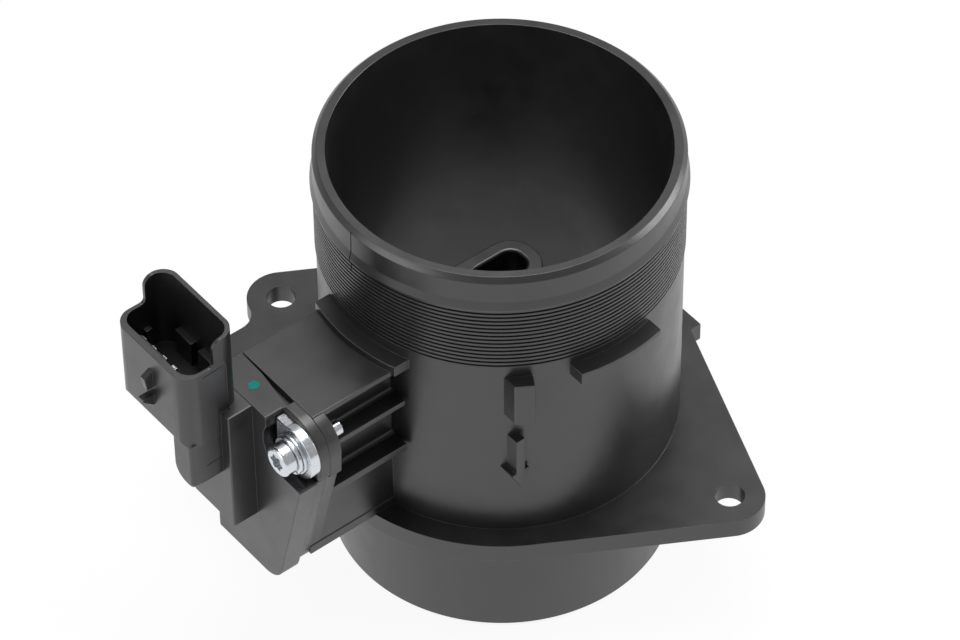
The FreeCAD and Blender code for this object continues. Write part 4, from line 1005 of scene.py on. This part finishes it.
@dataclass
class Studio:
    """Pale floor, soft lights and the camera of the photograph.

    Attributes:
        camera_place: Where the camera stands, in millimetres.
        right: The picture's direction to the right.
        down: The picture's direction downwards.
        lens: The focal length, in millimetres.
        film: The width of the sensor, in millimetres.
        ambient: The strength of the light from all round.
        panel: The side of a lamp, in metres.
        paper_seen: The share of plain white in the paper that the camera sees.
        glow_in_painted_shade: The share of it that is left under the duct, as painted shade.
        painted_shade_from: Where the painted shade under the duct starts to fade out, in metres.
        painted_shade_to: Where it has faded out, in metres.
    """

    camera_place: tuple[float, float, float] = (-520.4, -651.1, 946.0)
    right: tuple[float, float, float] = (0.7799, -0.6258, -0.0074)
    down: tuple[float, float, float] = (-0.4592, -0.5641, -0.6863)
    lens: float = 192.05
    film: float = 36.0
    ambient: float = 0.42
    panel: float = 0.8
    paper_seen: float = 0.92
    glow_in_painted_shade: float = 0.55
    painted_shade_from: float = 0.034
    painted_shade_to: float = 0.042

    def camera(self) -> None:
        """Place the camera."""
        data = bpy.data.cameras.new("camera")
        data.lens = self.lens
        data.sensor_width = self.film
        data.clip_end = 20.0
        item = bpy.data.objects.new("camera", data)
        bpy.context.scene.collection.objects.link(item)
        right = Vector(self.right).normalized()
        up = -Vector(self.down).normalized()
        back = right.cross(up)
        turn = Matrix((right, up, back)).transposed().to_4x4()
        item.matrix_world = Matrix.Translation(Vector(self.camera_place) * MM) @ turn
        bpy.context.scene.camera = item

    def lamp(self, name: str, spot: tuple[float, float, float], aim: tuple[float, float, float],
             power: float) -> None:
        """A soft square lamp.

        Args:
            name: Its name.
            spot: Its place, in metres.
            aim: The point that it faces, in metres.
            power: Its power, in watts.
        """
        data = bpy.data.lights.new(name, "AREA")
        data.shape = "RECTANGLE"
        data.size = self.panel
        data.size_y = self.panel
        data.energy = power
        item = bpy.data.objects.new(name, data)
        item.location = spot
        way = Vector(aim) - Vector(spot)
        item.rotation_euler = way.to_track_quat("-Z", "Y").to_euler()
        bpy.context.scene.collection.objects.link(item)

    def floor(self, level: float) -> None:
        """A pale floor that shows white and keeps a faint shadow, with painted shade under the
        duct, where its white glow is cut back.
        """
        bpy.ops.object.select_all(action="DESELECT")
        bpy.ops.mesh.primitive_plane_add(size=8.0, location=(0, 0, level))
        item = bpy.context.object
        item.name = "floor"
        made, tree = bare_material("seamless paper, white")
        seen = add_node(tree, "ShaderNodeLightPath")
        paper = add_node(tree, "ShaderNodeBsdfDiffuse", {"Color": linear("#f4f4f4")})
        glow = add_node(tree, "ShaderNodeEmission", {"Color": (1, 1, 1, 1), "Strength": 1.0})
        spot = add_node(tree, "ShaderNodeTexCoord").outputs["Object"]
        reach = add_node(tree, "ShaderNodeVectorMath", {"0": spot}, operation="LENGTH")
        # Painted shade: within a ring under the duct the white glow falls to a share, so the paper
        # there, and its reflection in the bore, looks darker.
        clear = add_node(tree, "ShaderNodeMapRange", {
            "Value": reach.outputs["Value"], "From Min": self.painted_shade_from,
            "From Max": self.painted_shade_to, "To Min": self.glow_in_painted_shade})
        bare = add_node(tree, "ShaderNodeMath", {
            "0": seen.outputs["Is Camera Ray"], "1": self.paper_seen}, operation="MULTIPLY")
        mirrored = add_node(tree, "ShaderNodeMath", {
            "0": seen.outputs["Is Glossy Ray"], "1": seen.outputs["Is Transmission Ray"]},
            operation="MAXIMUM")
        either = add_node(tree, "ShaderNodeMath", {
            "0": bare.outputs[0], "1": mirrored.outputs[0]}, operation="MAXIMUM")
        outside = add_node(tree, "ShaderNodeMath", {
            "0": either.outputs[0], "1": clear.outputs["Result"]}, operation="MULTIPLY")
        mix = add_node(tree, "ShaderNodeMixShader", {
            "Fac": outside.outputs[0], "1": paper.outputs[0], "2": glow.outputs[0]})
        add_node(tree, "ShaderNodeOutputMaterial", {"Surface": mix.outputs[0]})
        dress(item, made)
        item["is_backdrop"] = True

    def world(self) -> None:
        """An even, weak light from all round."""
        made = bpy.data.worlds.new("studio")
        made.use_nodes = True
        tree = made.node_tree
        tree.nodes.clear()
        glow = add_node(tree, "ShaderNodeBackground", {
            "Color": (1, 1, 1, 1), "Strength": self.ambient})
        add_node(tree, "ShaderNodeOutputWorld", {"Surface": glow.outputs[0]})
        bpy.context.scene.world = made

    def build(self, level: float) -> None:
        """Set the floor, the light and the camera."""
        self.floor(level)
        self.world()
        self.lamp("overhead softbox", (0.15, 0.15, 1.2), (0, 0, 0.05), 10.0)
        self.lamp("left softbox", (-1.2, 0.15, 0.6), (0, 0, 0.06), 5.0)
        self.lamp("right softbox", (1.1, -0.6, 0.5), (0, 0, 0.05), 11.0)
        self.camera()
        bpy.context.scene.view_settings.view_transform = "Standard"


def main() -> None:
    """Build the sensor's looks, piece by piece, and set the studio."""
    logging.basicConfig(level=logging.INFO, format="%(message)s")
    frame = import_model()
    solid_box = [list(corner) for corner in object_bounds()]
    materials = {
        "housing": HOUSING_PLASTIC.material(), "module": MODULE_PLASTIC.material(),
        "seal": SEAL_RUBBER.material(), "board": BOARD_LAMINATE.material(),
        "chip": CHIP_PACKAGE.material(), "capacitor": CAPACITOR_CERAMIC.material(),
        "ceramic": SENSOR_CERAMIC.material(), "film": FILM_SILICON.material(),
        "bead": BEAD_COATING.material(), "zinc": ZINC_STEEL.material(),
        "tin": TINNED_BRASS.material(), "brass": TURNED_BRASS.material(),
        "paint": MARKING_PAINT.material(),
    }
    DuctHousing().build(materials["housing"])
    ModuleShell().build(materials["module"])
    ScrewedJoint(1, *NEAR_SCREW, 1).build(materials["zinc"])
    ScrewedJoint(2, *FAR_SCREW, -1).build(materials["zinc"])
    PaintDab().build(materials["paint"])
    Electronics().build(frame["nodes"], materials)
    Studio().build(solid_box[0][2])


if __name__ == "__main__":
    main()
